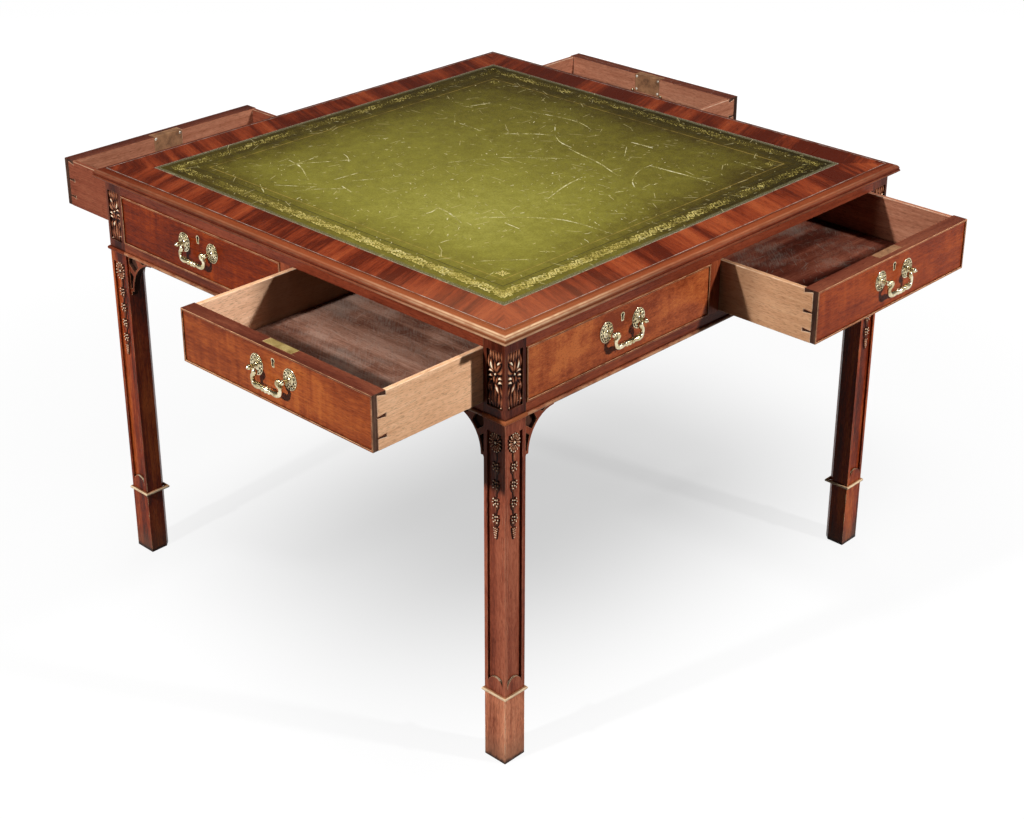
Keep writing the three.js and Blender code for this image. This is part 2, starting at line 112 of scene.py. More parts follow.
def makeLamps(plan):
    for name, values in plan.items():
        data = bpy.data.lights.new(name, "AREA")
        data.shape = "RECTANGLE"
        data.size, data.size_y = values["size"]
        data.energy = values["power"]
        lamp = bpy.data.objects.new(name, data)
        lamp.visible_camera = False
        lamp.visible_glossy = values.get("mirrored", True)
        bpy.context.collection.objects.link(lamp)
        place = Vector(values["place"])
        aim = (lampTarget - place).to_track_quat("-Z", "Y")
        lamp.matrix_world = Matrix.Translation(place) @ aim.to_matrix().to_4x4()


# shader maths

def twoTerms(operation, reflected=False):
    def apply(wire, other):
        return wire.maths(operation, *((other, wire) if reflected else (wire, other)))
    return apply


class Wire:                                            # a node's output that can stand in a sum
    def __init__(self, finish, socket):
        self.finish, self.socket = finish, socket

    def maths(self, operation, *terms):
        return self.finish.node("ShaderNodeMath", {"operation": operation}, dict(enumerate(terms)))

    __add__, __radd__ = twoTerms("ADD"), twoTerms("ADD", True)
    __sub__, __rsub__ = twoTerms("SUBTRACT"), twoTerms("SUBTRACT", True)
    __mul__, __rmul__ = twoTerms("MULTIPLY"), twoTerms("MULTIPLY", True)
    __truediv__, __pow__ = twoTerms("DIVIDE"), twoTerms("POWER")
    __gt__, __lt__ = twoTerms("GREATER_THAN"), twoTerms("LESS_THAN")
    larger, smaller = twoTerms("MAXIMUM"), twoTerms("MINIMUM")

    def __abs__(self):
        return self.maths("ABSOLUTE", self)


class Finish:                                          # one material and its nodes
    def __init__(self, name, **constants):
        self.material = bpy.data.materials.new(name)
        self.material.use_nodes = True
        self.tree = self.material.node_tree
        self.tree.nodes.clear()
        self.shader = self.tree.nodes.new("ShaderNodeBsdfPrincipled")
        end = self.tree.nodes.new("ShaderNodeOutputMaterial")
        self.tree.links.new(self.shader.outputs[0], end.inputs["Surface"])
        self.surface(**constants)

    def plug(self, socket, value):
        if isinstance(value, Wire):
            self.tree.links.new(value.socket, socket)
        elif isinstance(value, tuple) and len(value) == 3 and len(socket.default_value) == 4:
            socket.default_value = (*value, 1)
        else:
            socket.default_value = value

    def node(self, kind, settings=None, sockets=None, out=0):
        made = self.tree.nodes.new(kind)
        for key, value in (settings or {}).items():
            if key == "stops":
                stops = made.color_ramp.elements
                stops.remove(stops[1])
                stops[0].position, stops[0].color = value[0][0], (*value[0][1], 1)
                for place, colour in value[1:]:
                    stops.new(place).color = (*colour, 1)
            else:
                setattr(made, key, value)
        for key, value in (sockets or {}).items():
            self.plug(made.inputs[key], value)
        return Wire(self, made.outputs[out])

    def surface(self, **sockets):
        for key, value in sockets.items():
            self.plug(self.shader.inputs[key.replace("_", " ")], value)

    def split(self, vector, count=3):
        parts = self.node("ShaderNodeSeparateXYZ", sockets={0: vector}).socket.node
        return [Wire(self, parts.outputs[i]) for i in range(count)]

    def place(self, count=3):                          # object coordinates: x and y, or x, y and z
        return self.split(self.node("ShaderNodeTexCoord", out="Object"), count)

    def join(self, x, y, z=0.0):
        return self.node("ShaderNodeCombineXYZ", sockets={0: x, 1: y, 2: z})

    def noise(self, spot, detail=2.0, roughness=0.5, distortion=0.0):
        return self.node("ShaderNodeTexNoise", {"noise_dimensions": "3D"}, {
            "Vector": spot, "Scale": 1.0, "Detail": detail, "Roughness": roughness, "Distortion": distortion,
        })

    def fade(self, value, low, high, start=0.0, end=1.0):
        sockets = dict(enumerate((value, low, high, start, end)))
        return self.node("ShaderNodeMapRange", {"interpolation_type": "SMOOTHSTEP"}, sockets)

    def mix(self, factor, first, second):
        return self.node("ShaderNodeMix", {"data_type": "RGBA"}, {0: factor, 6: first, 7: second}, 2)

    def ramp(self, value, stops):
        return self.node("ShaderNodeValToRGB", {"stops": stops}, {0: value})

    def attribute(self, name):
        return self.node("ShaderNodeAttribute", {"attribute_name": name}, out="Fac")

    def shut(self, reach, inside):
        settings = {"only_local": True, "inside": inside, "samples": 6}
        return 1 - self.node("ShaderNodeAmbientOcclusion", settings, {"Distance": reach}, "AO")

    def dirt(self, reach):                             # 1 in crevices, 0 in the open; it masks dirt and painted shade
        return self.shut(reach, False)

    def ridge(self, reach):                            # 0.5 on a sharp corner, 0 on a flat face
        return self.shut(reach, True)

    def bump(self, height, distance, strength=1.0):
        return self.node("ShaderNodeBump", sockets={"Height": height, "Distance": distance, "Strength": strength})


diagonal = 0.7071


def nearFront(x, y):                                   # distance from the middle towards the front corner
    return (x - y) * diagonal


def dimmed(colour, share):
    return tuple(c * share for c in colour)


# woods

def woodLook(dark, mid, light, worn, streak=40, flame=0.25, ripple=0.02, rough=0.3, gloss=0.07, **more):
    return dict(
        dark=dark, mid=mid, light=light, worn=worn, streak=streak, flame=flame, ripple=ripple, rough=rough,
        gloss=gloss, **more,
    )


woodLooks = {
    "showWood": woodLook(
        (0.0945, 0.0164, 0.0066), (0.2205, 0.0451, 0.0164), (0.333, 0.082, 0.0312), (0.62, 0.36, 0.19), streak=34,
        flame=0.2, rough=0.32,
    ),
    # the upper rails: showWood darkened as painted shade under the moulding
    "upperRail": woodLook(
        (0.0737, 0.0121, 0.0057), (0.172, 0.0334, 0.0141), (0.2597, 0.0607, 0.0268), (0.62, 0.36, 0.19), streak=34,
        flame=0.2, rough=0.32,
    ),
    "deepWood": woodLook(                              # the legs away from the window, less faded
        (0.0633, 0.007, 0.002), (0.2472, 0.032, 0.0068), (0.483, 0.105, 0.024), (0.78, 0.52, 0.28), flame=0.3,
        gain=1.6, fleck=0.5, edge=0.45, soot=0.9,
    ),
    "fadedWood": woodLook(
        (0.1127, 0.0221, 0.0102), (0.2695, 0.0627, 0.0304), (0.4214, 0.1245, 0.0627), (0.80, 0.56, 0.34), rough=0.34,
        gain=1.4, fleck=0.5, edge=0.35, soot=0.9,
    ),
    "footWood": woodLook(
        (0.2366, 0.059, 0.0282), (0.5357, 0.1759, 0.0877), (0.7374, 0.295, 0.1574), (0.90, 0.72, 0.50), rough=0.36,
        gain=1.3, fleck=0.5, edge=0.9, soot=0.9,
    ),
    "postWood": woodLook(
        (0.0312, 0.0055, 0.0027), (0.0832, 0.0153, 0.0072), (0.1512, 0.0361, 0.0171), (0.70, 0.42, 0.22), rough=0.32,
        gain=1.4, fleck=0.5, edge=0.3,
    ),
    "collarWood": woodLook(
        (0.18, 0.065, 0.028), (0.40, 0.175, 0.08), (0.62, 0.36, 0.18), (0.90, 0.68, 0.43), flame=0.3, rough=0.4,
        gloss=0.1, gain=1.6, patch=0.75, fleck=0.6,
    ),
    "ledgeWood": woodLook(                             # the ledges of the arches above the collars, paler on their upward faces: wear and a painted highlight
        (0.12, 0.05, 0.024), (0.62, 0.43, 0.26), (0.92, 0.76, 0.53), (0.95, 0.80, 0.54), streak=60, flame=0.6,
        rough=0.45, gloss=0.08, gain=2.2, fleck=1.0,
    ),
    "frontWood": woodLook(
        (0.1583, 0.0261, 0.0061), (0.2731, 0.0564, 0.0127), (0.3878, 0.0987, 0.0212), (0.80, 0.55, 0.33), streak=36,
        flame=0.30, ripple=0.2, gloss=0.06, fleck=0.6, gain=1.25,
    ),
    "paleFront": woodLook(
        (0.19, 0.0339, 0.0104), (0.3277, 0.0733, 0.0216), (0.4654, 0.1283, 0.036), (0.80, 0.55, 0.33), streak=36,
        flame=0.42, ripple=0.12, gloss=0.06, fleck=0.6, skew=0.3, gain=1.25,
    ),
    "darkFront": woodLook(
        (0.0898, 0.0086, 0.0008), (0.1841, 0.0214, 0.002), (0.3054, 0.0455, 0.0037), (0.72, 0.44, 0.24), streak=36,
        flame=0.30, ripple=0.15, gloss=0.06, fleck=0.6, gain=1.2,
    ),
    "bandWood": woodLook(
        (0.0864, 0.0124, 0.0049), (0.2229, 0.0361, 0.0117), (0.3382, 0.0716, 0.0225), (0.6, 0.3, 0.15), streak=30,
        flame=0.27, gloss=0.02, faded=(0.46, 0.19, 0.10), backShade=0.19, leftShade=0.11, gain=1.9, skew=0.34,
    ),
    "mouldingWood": woodLook(
        (0.0698, 0.0113, 0.0049), (0.1482, 0.027, 0.0105), (0.2181, 0.0501, 0.0217), (0.90, 0.66, 0.40), flame=0.2,
        rough=0.36, gloss=0.03, fleck=0.4, patch=0.6, crown=(0.34, 0.085, 0.028), rubbed=(0.42, 0.16, 0.062),
    ),
    "beadWood": woodLook(                              # the cockbeads
        (0.108, 0.0251, 0.0093), (0.2232, 0.0627, 0.0236), (0.3456, 0.132, 0.0558), (0.66, 0.38, 0.20), flame=0.3,
        rough=0.36, gloss=0.1, fleck=0.6, gain=1.3,
    ),
    "redFront": woodLook(
        (0.1172, 0.0143, 0.0032), (0.226, 0.0341, 0.0071), (0.3348, 0.0628, 0.0128), (0.80, 0.55, 0.33), streak=36,
        flame=0.30, ripple=0.12, gloss=0.06, fleck=0.6, gain=1.3,
    ),
    "liningTan": woodLook(
        (0.5962, 0.297, 0.1503), (0.8037, 0.4554, 0.2549), (0.9591, 0.6073, 0.366), (0.82, 0.62, 0.44), streak=90,
        flame=0.1, rough=0.6, gloss=0.05, gain=0.6, deep=0.93,
    ),
    # a paler copy of liningTan, painted light, for the inside of the south drawer's sides; their back part gets painted
    # shade
    "hiddenTan": woodLook(
        (0.6427, 0.3457, 0.1954), (0.8664, 0.53, 0.3314), (1.034, 0.7069, 0.4757), (0.82, 0.62, 0.44), streak=90,
        flame=0.1, rough=0.6, gloss=0.05, gain=0.6, deep=0.93, hidden=0.8,
    ),
    "liningTanCool": woodLook(
        (0.4336, 0.2073, 0.0997), (0.5845, 0.3179, 0.1691), (0.6975, 0.4239, 0.2428), (0.82, 0.62, 0.44), streak=90,
        flame=0.1, rough=0.6, gloss=0.05, gain=0.6, deep=0.93,
    ),
    # liningTanCool with painted shade on the part that stays inside the table
    "hiddenTanCool": woodLook(
        (0.4336, 0.2073, 0.0997), (0.5845, 0.3179, 0.1691), (0.6975, 0.4239, 0.2428), (0.82, 0.62, 0.44), streak=90,
        flame=0.1, rough=0.6, gloss=0.05, gain=0.6, deep=0.93, hidden=0.5,
    ),
    "liningRose": woodLook(
        (0.2472, 0.08, 0.042), (0.4017, 0.16, 0.091), (0.5356, 0.248, 0.147), (0.7, 0.5, 0.36), streak=90, flame=0.15,
        rough=0.6, gloss=0.05, gain=0.7, deep=0.5,
    ),
    "liningRed": woodLook(
        (0.1196, 0.0286, 0.0151), (0.23, 0.0588, 0.0302), (0.3128, 0.1008, 0.0521), (0.6, 0.38, 0.24), streak=80,
        flame=0.15, rough=0.55, gloss=0.05, gain=0.8, deep=0.5,
    ),
    "greyBottom": woodLook(
        (0.13, 0.050, 0.031), (0.285, 0.135, 0.088), (0.43, 0.235, 0.165), (0.5, 0.38, 0.3), streak=34, flame=0.45,
        ripple=0.0, rough=0.6, gloss=0.05, gain=1.35, dust=(0.42, 0.36, 0.30), dustMix=0.36,
    ),
    "redBottom": woodLook(
        (0.0536, 0.0113, 0.0065), (0.129, 0.0312, 0.0178), (0.2477, 0.078, 0.0444), (0.4, 0.28, 0.2), streak=30,
        flame=0.5, ripple=0.0, rough=0.45, gloss=0.08, gain=1.6, dust=(0.24, 0.22, 0.18), dustMix=0.62,
    ),
    "carcassWood": woodLook(
        (0.07, 0.028, 0.015), (0.14, 0.06, 0.032), (0.22, 0.11, 0.06), (0.3, 0.18, 0.1), flame=0.2, ripple=0.0,
        rough=0.7, gloss=0.05,
    ),
    "edgeWood": woodLook(
        (0.0616, 0.0129, 0.007), (0.132, 0.031, 0.0158), (0.22, 0.0645, 0.0317), (0.6, 0.34, 0.18), flame=0.3,
        rough=0.4, gloss=0.08,
    ),
    "endWood": woodLook(                               # end grain of the fronts
        (0.024, 0.012, 0.008), (0.062, 0.028, 0.018), (0.14, 0.075, 0.05), (0.4, 0.27, 0.18), streak=60, flame=0.3,
        ripple=0.0, rough=0.7, gloss=0.05,
    ),
    "groundWood": woodLook(                            # sunk ground of the frets, dark with dust and painted shade
        (0.0304, 0.0144, 0.0108), (0.0855, 0.036, 0.0234), (0.19, 0.0864, 0.0576), (0.2, 0.12, 0.08), streak=50,
        flame=0.5, ripple=0.0, rough=0.85, gloss=0.03,
    ),
}
grains = {                                             # along the grain, across it, detail, roughness, distortion
    "fine": (13, 520, 2.0, 0.6), "fleck": (75, 330, 2.0, 0.6), "flame": (6.5, 11, 2.0, 0.5, 0.6),
    "pores": (110, 900, 1.0, 0.5), "patchy": (45, 90, 2.0, 0.6), "chipped": (24, 60, 2.0, 0.7),
}


def woodSpace(layout, x, y, z):                        # along the grain, across it, and the third way
    if layout in "xyz":
        return {"x": (x, y, z), "y": (y, x, z), "z": (z, x, y)}[layout]
    wide = abs(x) > abs(y)                             # the mitre runs where |x| = |y|
    far, near = y + (x - y) * wide, x + (y - x) * wide
    return (far, near, z) if layout == "cross" else (near, far, z)


def woodFinish(name, layout, look, shift=0.0):
    finish = Finish(name, Specular_IOR_Level=look["gloss"])
    fade, mix, join, noise = finish.fade, finish.mix, finish.join, finish.noise
    x, y, z = finish.place()
    along, across, deep = woodSpace(layout, x, y, z)
    along = along + shift
    wander = noise(join(along * 2.2, across * 6, deep * 6), 1.0) - 0.5
    across, deep = across + wander * 0.02 + along * look.get("skew", 0), deep + wander * 0.011

    def grain(long, wide, detail, roughness, distortion=0.0):
        return noise(join(along * long, across * wide, deep * wide), detail, roughness, distortion)

    broad = grain(1.6, look["streak"], 4.0, 0.62)
    fine, fleck, flame, pores, patchy = (grain(*grains[key]) for key in ("fine", "fleck", "flame", "pores", "patchy"))
    ripple = noise(join(along * 85 + wander * 3, across * 5, deep * 5), 2.0, 0.5)
    tone = 0.5 + (broad - 0.5) * look.get("gain", 1.0) + (fine - 0.5) * 0.36 + (fleck - 0.5) * look.get("fleck", 0.35)
    tone = tone + (flame - 0.5) * (look["flame"] * 2.6)
    tone = tone + (ripple - 0.5) * fade(flame, 0.4, 0.6, 0.4, 1.6) * (look["ripple"] * 2.6)
    if "faded" in look:                                # painted shade: the sides away from the front corner are darker
        tone = tone - (y > abs(x)) * look["backShade"] - (x < abs(y) * -1) * look["leftShade"]
        tone = tone - (y < abs(x) * -1) * fade(x, 0.1, 0.42, look["leftShade"], 0.0)
    colour = finish.ramp(tone, [(0.24, look["dark"]), (0.5, look["mid"]), (0.78, look["light"])])
    pores = fade(pores, 0.54, 0.68)
    colour = mix(pores * 0.4, colour, dimmed(look["dark"], 0.4))
    if "faded" in look:                                # palest where the front corner stands in the light
        colour = mix(fade(nearFront(x, y), 0.44, 0.66, 0.0, 0.22), colour, look["faded"])
    if "dust" in look:
        cloud = noise(join(x * 9, y * 9, 0.5), 3.0, 0.6)
        hatch = noise(join((x + y) * 260, (x - y) * 30, 0.0), 2.0, 0.7)
        dusty = fade(cloud + (hatch - 0.5) * 0.5, 0.42, 0.72) * 0.85
        dusty = dusty.larger(scratched(finish, x, y, "dustLong", "dustShort") * 0.8)
        colour = mix(dusty * look["dustMix"], colour, look["dust"])
    # grime and painted shade in crevices and recesses
    grime = fade(finish.dirt(0.005), 0.08, 0.6)
    colour = mix(grime * 0.85, colour, dimmed(look["dark"], 0.2))
    worn = finish.attribute("wear") * fade(patchy, 0.36, 0.62, look.get("patch", 0.25), 1.0)
    if "edge" in look:                                 # arrises rubbed pale, most of all at the foot
        share = fade(z, 0.142, 0.165, 1.3, look["edge"])
        chipped = fade(grain(*grains["chipped"]), 0.46, 0.58, 0.12, 1.0)
        worn = worn.larger(fade(finish.ridge(0.0016), 0.24, 0.46) * chipped * share)
    if "deep" in look:                                 # painted shade and dirt far inside, where no light or duster reaches
        hollow = fade(finish.dirt(0.16), 0.58, 0.86)
        colour = mix(hollow * look["deep"], colour, dimmed(look["dark"], 0.22))
    if "hidden" in look:                               # painted shade on the part of a side that stays inside the table
        inner = fade(abs(along) + (patchy - 0.5) * 0.01, 0.535, 0.600, look["hidden"], 0.0)
        colour = mix(inner, colour, dimmed(look["dark"], 0.25))
    if "crown" in look:                                # the moulding: paler towards the front corner with wear and a painted highlight, the tops of the south and east sides painted lighter where the lamps fall, and the flat by the pale line darker
        near = fade(nearFront(x, y), 0.44, 0.70)
        out = abs(x).larger(abs(y))
        worn = worn * (0.16 + near * 0.95)
        colour = mix(fade(out, 0.5035, 0.5085, 0.5, 0.0) * fade(x - y, 0.0, 0.3), colour, look["crown"])
        colour = mix(near * 0.3, colour, look["rubbed"])
        colour = mix(fade(out, 0.4948, 0.4956, 0.62, 0.0) * (1 - near * 0.6), colour, look["dark"])
    # pale wear on edges; on the moulding and the beads it is also a painted highlight
    colour = mix((worn * 0.75).smaller(0.95), colour, look["worn"])
    if "soot" in look:                                 # the feet darker towards the floor, with floor polish and painted contact shade at the very bottom; painted shade at the top of the legs
        high = z + (patchy - 0.5) * 0.012
        colour = mix(fade(high, 0.008, 0.06, 0.42, 0.0), colour, (0.11, 0.075, 0.045))
        colour = mix(fade(high, 0.002, 0.010, look["soot"], 0.0), colour, (0.012, 0.008, 0.006))
        colour = mix(fade(high, 0.575, 0.655, 0.0, 0.55), colour, dimmed(look["dark"], 0.5))
    finish.surface(
        Base_Color=colour, Roughness=look["rough"] + (broad - 0.5) * 0.12 + grime * 0.3 + pores * 0.08,
        Normal=finish.bump(fine * 0.5 + broad - pores * 0.8, 0.00022, 0.5),
    )
    return finish.material


def grained(name, axes, shift=0.0):                    # one material for each way the grain runs
    return [woodFinish(f"{name}_{axis}", axis, woodLooks[name], shift) for axis in axes]


scratchKinds = {                                       # size of a cell, length, width, share of the cells, seed
    "dustLong": (0.05, 0.04, 0.0006, 0.6, 0.4), "dustShort": (0.023, 0.016, 0.0005, 0.6, 0.7),
    "hideLong": (0.052, 0.030, 0.00055, 0.42, 0.31), "hideShort": (0.021, 0.009, 0.0006, 0.3, 0.13),
}


def scratched(finish, x, y, *kinds):                   # two kinds of scratches over each other
    first, second = (scratches(finish, x, y, *scratchKinds[kind]) for kind in kinds)
    return first.larger(second)


def scratches(finish, x, y, size, long, thin, keep, seed):  # short scored lines, one to a cell
    cell = finish.node("ShaderNodeTexVoronoi", {"voronoi_dimensions": "2D"}, {
        "Vector": finish.join((x + seed) / size, (y - seed) / size), "Scale": 1.0,
    }, "Position")
    cx, cy = finish.split(cell, 2)
    chance = finish.node("ShaderNodeTexWhiteNoise", {"noise_dimensions": "2D"}, {"Vector": cell})
    other = finish.node("ShaderNodeTexWhiteNoise", {"noise_dimensions": "2D"}, {"Vector": finish.join(cy + 3.1, cx)})
    turn = other * 6.283
    cosine, sine = turn.maths("COSINE", turn), turn.maths("SINE", turn)
    u, v = (x + seed) - cx * size, (y - seed) - cy * size
    bow = finish.noise(finish.join(x * 14, y * 14), 1.0) - 0.5
    line = finish.fade(abs(v * cosine - u * sine + bow * 0.006), thin * 0.5, thin * 1.5, 1.0, 0.0)
    ends = finish.fade(abs(u * cosine + v * sine), long * 0.3, long * 0.5, 1.0, 0.0)
    return line * ends * (chance < keep)


# mesh helpers

def newPiece(name, shape, body, finishes, replaced=(), smoothAngle=25):
    mesh = meshOf(shape, name, smoothAngle) if isinstance(shape, bmesh.types.BMesh) else shape
    piece = bpy.data.objects.new(name, mesh)
    bpy.context.collection.objects.link(piece)
    if mesh.materials:                                 # clearing an empty list would reset the faces' slots
        mesh.materials.clear()
    for material in finishes:
        mesh.materials.append(material)
    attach(piece, body)
    if replaced:
        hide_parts(*replaced)


def dress(node, material):                             # a CAD node that stays, in a better material
    nodes[node].data.materials.clear()
    nodes[node].data.materials.append(material)


def meshOf(work, name, smoothAngle=25):
    for face in work.faces:
        face.smooth = True
    for edge in work.edges:
        if edge.is_manifold and edge.calc_face_angle() > math.radians(smoothAngle):
            edge.smooth = False
    mesh = bpy.data.meshes.new(name)
    work.to_mesh(mesh)
    work.free()
    return mesh


def plainMesh(host):                                   # the host object with its modifiers applied
    shapes = bpy.context.evaluated_depsgraph_get()
    made = bpy.data.meshes.new_from_object(host.evaluated_get(shapes))
    host.modifiers.clear()
    bpy.data.objects.remove(host)
    return made


def moved(mesh, matrix):
    made = mesh.copy()
    made.transform(matrix)
    return made


def outward(work):
    bmesh.ops.recalc_face_normals(work, faces=work.faces)
    return work


def skin(work, rings, skipped=lambda band, k: False):  # walls between closed rings of equal length
    walls = []
    for band, (first, second) in enumerate(zip(rings, rings[1:])):
        for k in range(len(first)):
            j = (k + 1) % len(first)
            if not skipped(band, k):
                walls.append(work.faces.new((first[k], first[j], second[j], second[k])))
    return walls


def roundEdges(work, width, segments=3, sharp=32):
    wear = work.verts.layers.float.get("wear") or work.verts.layers.float.new("wear")
    tight = {v for e in work.edges if e.calc_length() < width * 2.4 for v in e.verts}
    sharpest = math.radians(sharp)
    edges = [
        e for e in work.edges
        if e.is_manifold and e.is_convex and e.calc_face_angle() > sharpest and not tight.intersection(e.verts)
    ]
    made = bmesh.ops.bevel(
        work, geom=edges, offset=width, segments=segments, profile=0.5, affect="EDGES", clamp_overlap=False,
    )
    rounded = set(made["faces"])
    for edge in {e for face in made["faces"] for e in face.edges}:
        edge.smooth = all(face in rounded for face in edge.link_faces)
    for vertex in {v for face in made["faces"] for v in face.verts}:
        if all(face in rounded for face in vertex.link_faces):
            vertex[wear] = 1.0


def softCopy(node, width, segments=3, flatten=True):   # a merged copy of a CAD node with its edges rounded
    work = bmesh.new()
    work.from_mesh(nodes[node].data)
    bmesh.ops.remove_doubles(work, verts=work.verts, dist=2e-6)
    if flatten:
        bmesh.ops.dissolve_limit(work, angle_limit=0.01, verts=work.verts, edges=work.edges)
    if width:
        roundEdges(work, width, segments)
    return work


def paintFaces(work, quarter, indexOf):                # indexOf(normal, centre), both turned back to the south side
    turn = quarterTurn(-quarter, 3)
    for face in work.faces:
        face.material_index = indexOf(turn @ face.normal, turn @ face.calc_center_median())


def boardInto(work, low, high, index=0):
    spots = [work.verts.new((x, y, z)) for x in (low[0], high[0]) for y in (low[1], high[1]) for z in (low[2], high[2])]
    for face in ((0, 1, 3, 2), (4, 6, 7, 5), (0, 4, 5, 1), (2, 3, 7, 6), (0, 2, 6, 4), (1, 5, 7, 3)):
        work.faces.new([spots[i] for i in face]).material_index = index


def smoothRun(points, steps=5):                        # Catmull-Rom through the points
    made = []
    for i in range(len(points) - 1):
        a, b = points[max(i - 1, 0)], points[i]
        c, d = points[i + 1], points[min(i + 2, len(points) - 1)]
        for s in range(steps):
            t = s / steps
            made.append(tuple(
                0.5 * (2 * q + (r - p) * t + (2 * p - 5 * q + 4 * r - u) * t * t + (3 * q - p - 3 * r + u) * t ** 3)
                for p, q, r, u in zip(a, b, c, d)
            ))
    return made + [tuple(points[-1])]


def lathe(profile, around):                            # profile of (radius, reach); the axis runs along -Y
    work = bmesh.new()
    rings = []
    for radius, reach in profile:
        turns = turnSteps(around) if radius > 1e-7 else [0]
        rings.append([work.verts.new((radius * math.cos(t), -reach, radius * math.sin(t))) for t in turns])
    for first, second in zip(rings, rings[1:]):
        for k in range(around):
            j = (k + 1) % around
            if len(first) == 1:
                work.faces.new((first[0], second[j], second[k]))
            elif len(second) == 1:
                work.faces.new((first[k], first[j], second[0]))
            else:
                work.faces.new((first[k], first[j], second[j], second[k]))
    return outward(work)


def newTree(name, inputs):
    tree = bpy.data.node_groups.new(name, "GeometryNodeTree")
    for label, kind in inputs.items():
        tree.interface.new_socket(label, in_out="INPUT", socket_type=f"NodeSocket{kind}")
    tree.interface.new_socket("Geometry", in_out="OUTPUT", socket_type="NodeSocketGeometry")
    return tree


def addNodes(tree, *kinds):
    return [tree.nodes.new(kind) for kind in kinds]


def linkAll(tree, *links):
    for source, out, target, into in links:
        tree.links.new(source.outputs[out], target.inputs[into])


def strewn(tree, begin, thing, finish):                # instances of an input object, made real and painted
    end, put, info, real, paint = addNodes(
        tree, "NodeGroupOutput", "GeometryNodeInstanceOnPoints", "GeometryNodeObjectInfo",
        "GeometryNodeRealizeInstances", "GeometryNodeSetMaterial",
    )
    linkAll(
        tree, (begin, thing, info, "Object"), (info, "Geometry", put, "Instance"), (put, 0, real, 0),
        (real, 0, paint, "Geometry"), (begin, finish, paint, "Material"), (paint, 0, end, 0),
    )
    return put


def grown(tree, mesh, values):                         # runs a node tree on a mesh and keeps the plain result
    host = bpy.data.objects.new("host", mesh)
    bpy.context.collection.objects.link(host)
    modifier = host.modifiers.new("grow", "NODES")
    modifier.node_group = tree
    for item in tree.interface.items_tree:
        if item.in_out == "INPUT" and item.name in values:
            modifier[item.identifier] = values[item.name]
    return plainMesh(host)


makeCamera(cameraFit)
makeLamps(lampPlan)

showX, showY, showZ = grained("showWood", "xyz")
deepZ, fadedZ, footZ, postZ = (grained(name, "z", 0.2)[0] for name in ("deepWood", "fadedWood", "footWood", "postWood"))
ledgeZ, = grained("ledgeWood", "z", 0.4)
collarRing, = grained("collarWood", ["ring"], 0.2)
upperX, upperY = grained("upperRail", "xy", 0.3)
ringWood, = grained("mouldingWood", ["ring"], 0.7)
crossWood, = grained("bandWood", ["cross"], 0.62)
frontX, = grained("frontWood", "x", 0.4)
paleFrontY, = grained("paleFront", "y", 0.4)
redFrontY, = grained("redFront", "y", 0.9)
darkFrontX, = grained("darkFront", "x", 0.1)
beadX, beadY = grained("beadWood", "xy", 0.5)
edgeX, edgeY = grained("edgeWood", "xy", 0.6)
tanY, = grained("liningTan", "y")
hiddenTanY, = grained("hiddenTan", "y")
tanX, = grained("liningTanCool", "x")
hiddenTanX, = grained("hiddenTanCool", "x")
roseX, roseY = grained("liningRose", "xy")
redX, redY = grained("liningRed", "xy")
greyBottomX, = grained("greyBottom", "x")
redBottomX, redBottomY = grained("redBottom", "xy")
carcassX, = grained("carcassWood", "x")
endWood, = grained("endWood", "z")
groundWood, = grained("groundWood", "z")
print("woods ready")


# leather with its tooling

leatherLook = {
    "half": 0.431, "rim": 0.0085, "blindLine": 0.0515, "goldLine": 0.0695, "bandMiddle": 0.0305, "bandHalf": 0.0102,
    "palest": (0.14, -0.22), "fall": 0.80,
    "tones": [
        (0.0, (0.0233, 0.016, 0.0042)), (0.22, (0.0614, 0.0432, 0.0083)), (0.5, (0.1367, 0.1128, 0.0174)),
        (0.78, (0.2232, 0.1993, 0.0322)), (1.05, (0.3255, 0.3008, 0.0626)),
    ],
    "dark": (0.04, 0.034, 0.012), "scratch": (0.62, 0.53, 0.27), "gold": (0.42, 0.28, 0.07),
    "giltDust": (0.46, 0.365, 0.085), "rimDark": (0.055, 0.05, 0.03), "rimMiddle": (0.13, 0.115, 0.05),
    "rimPale": (0.25, 0.22, 0.14), "lip": (0.34, 0.28, 0.22),
}


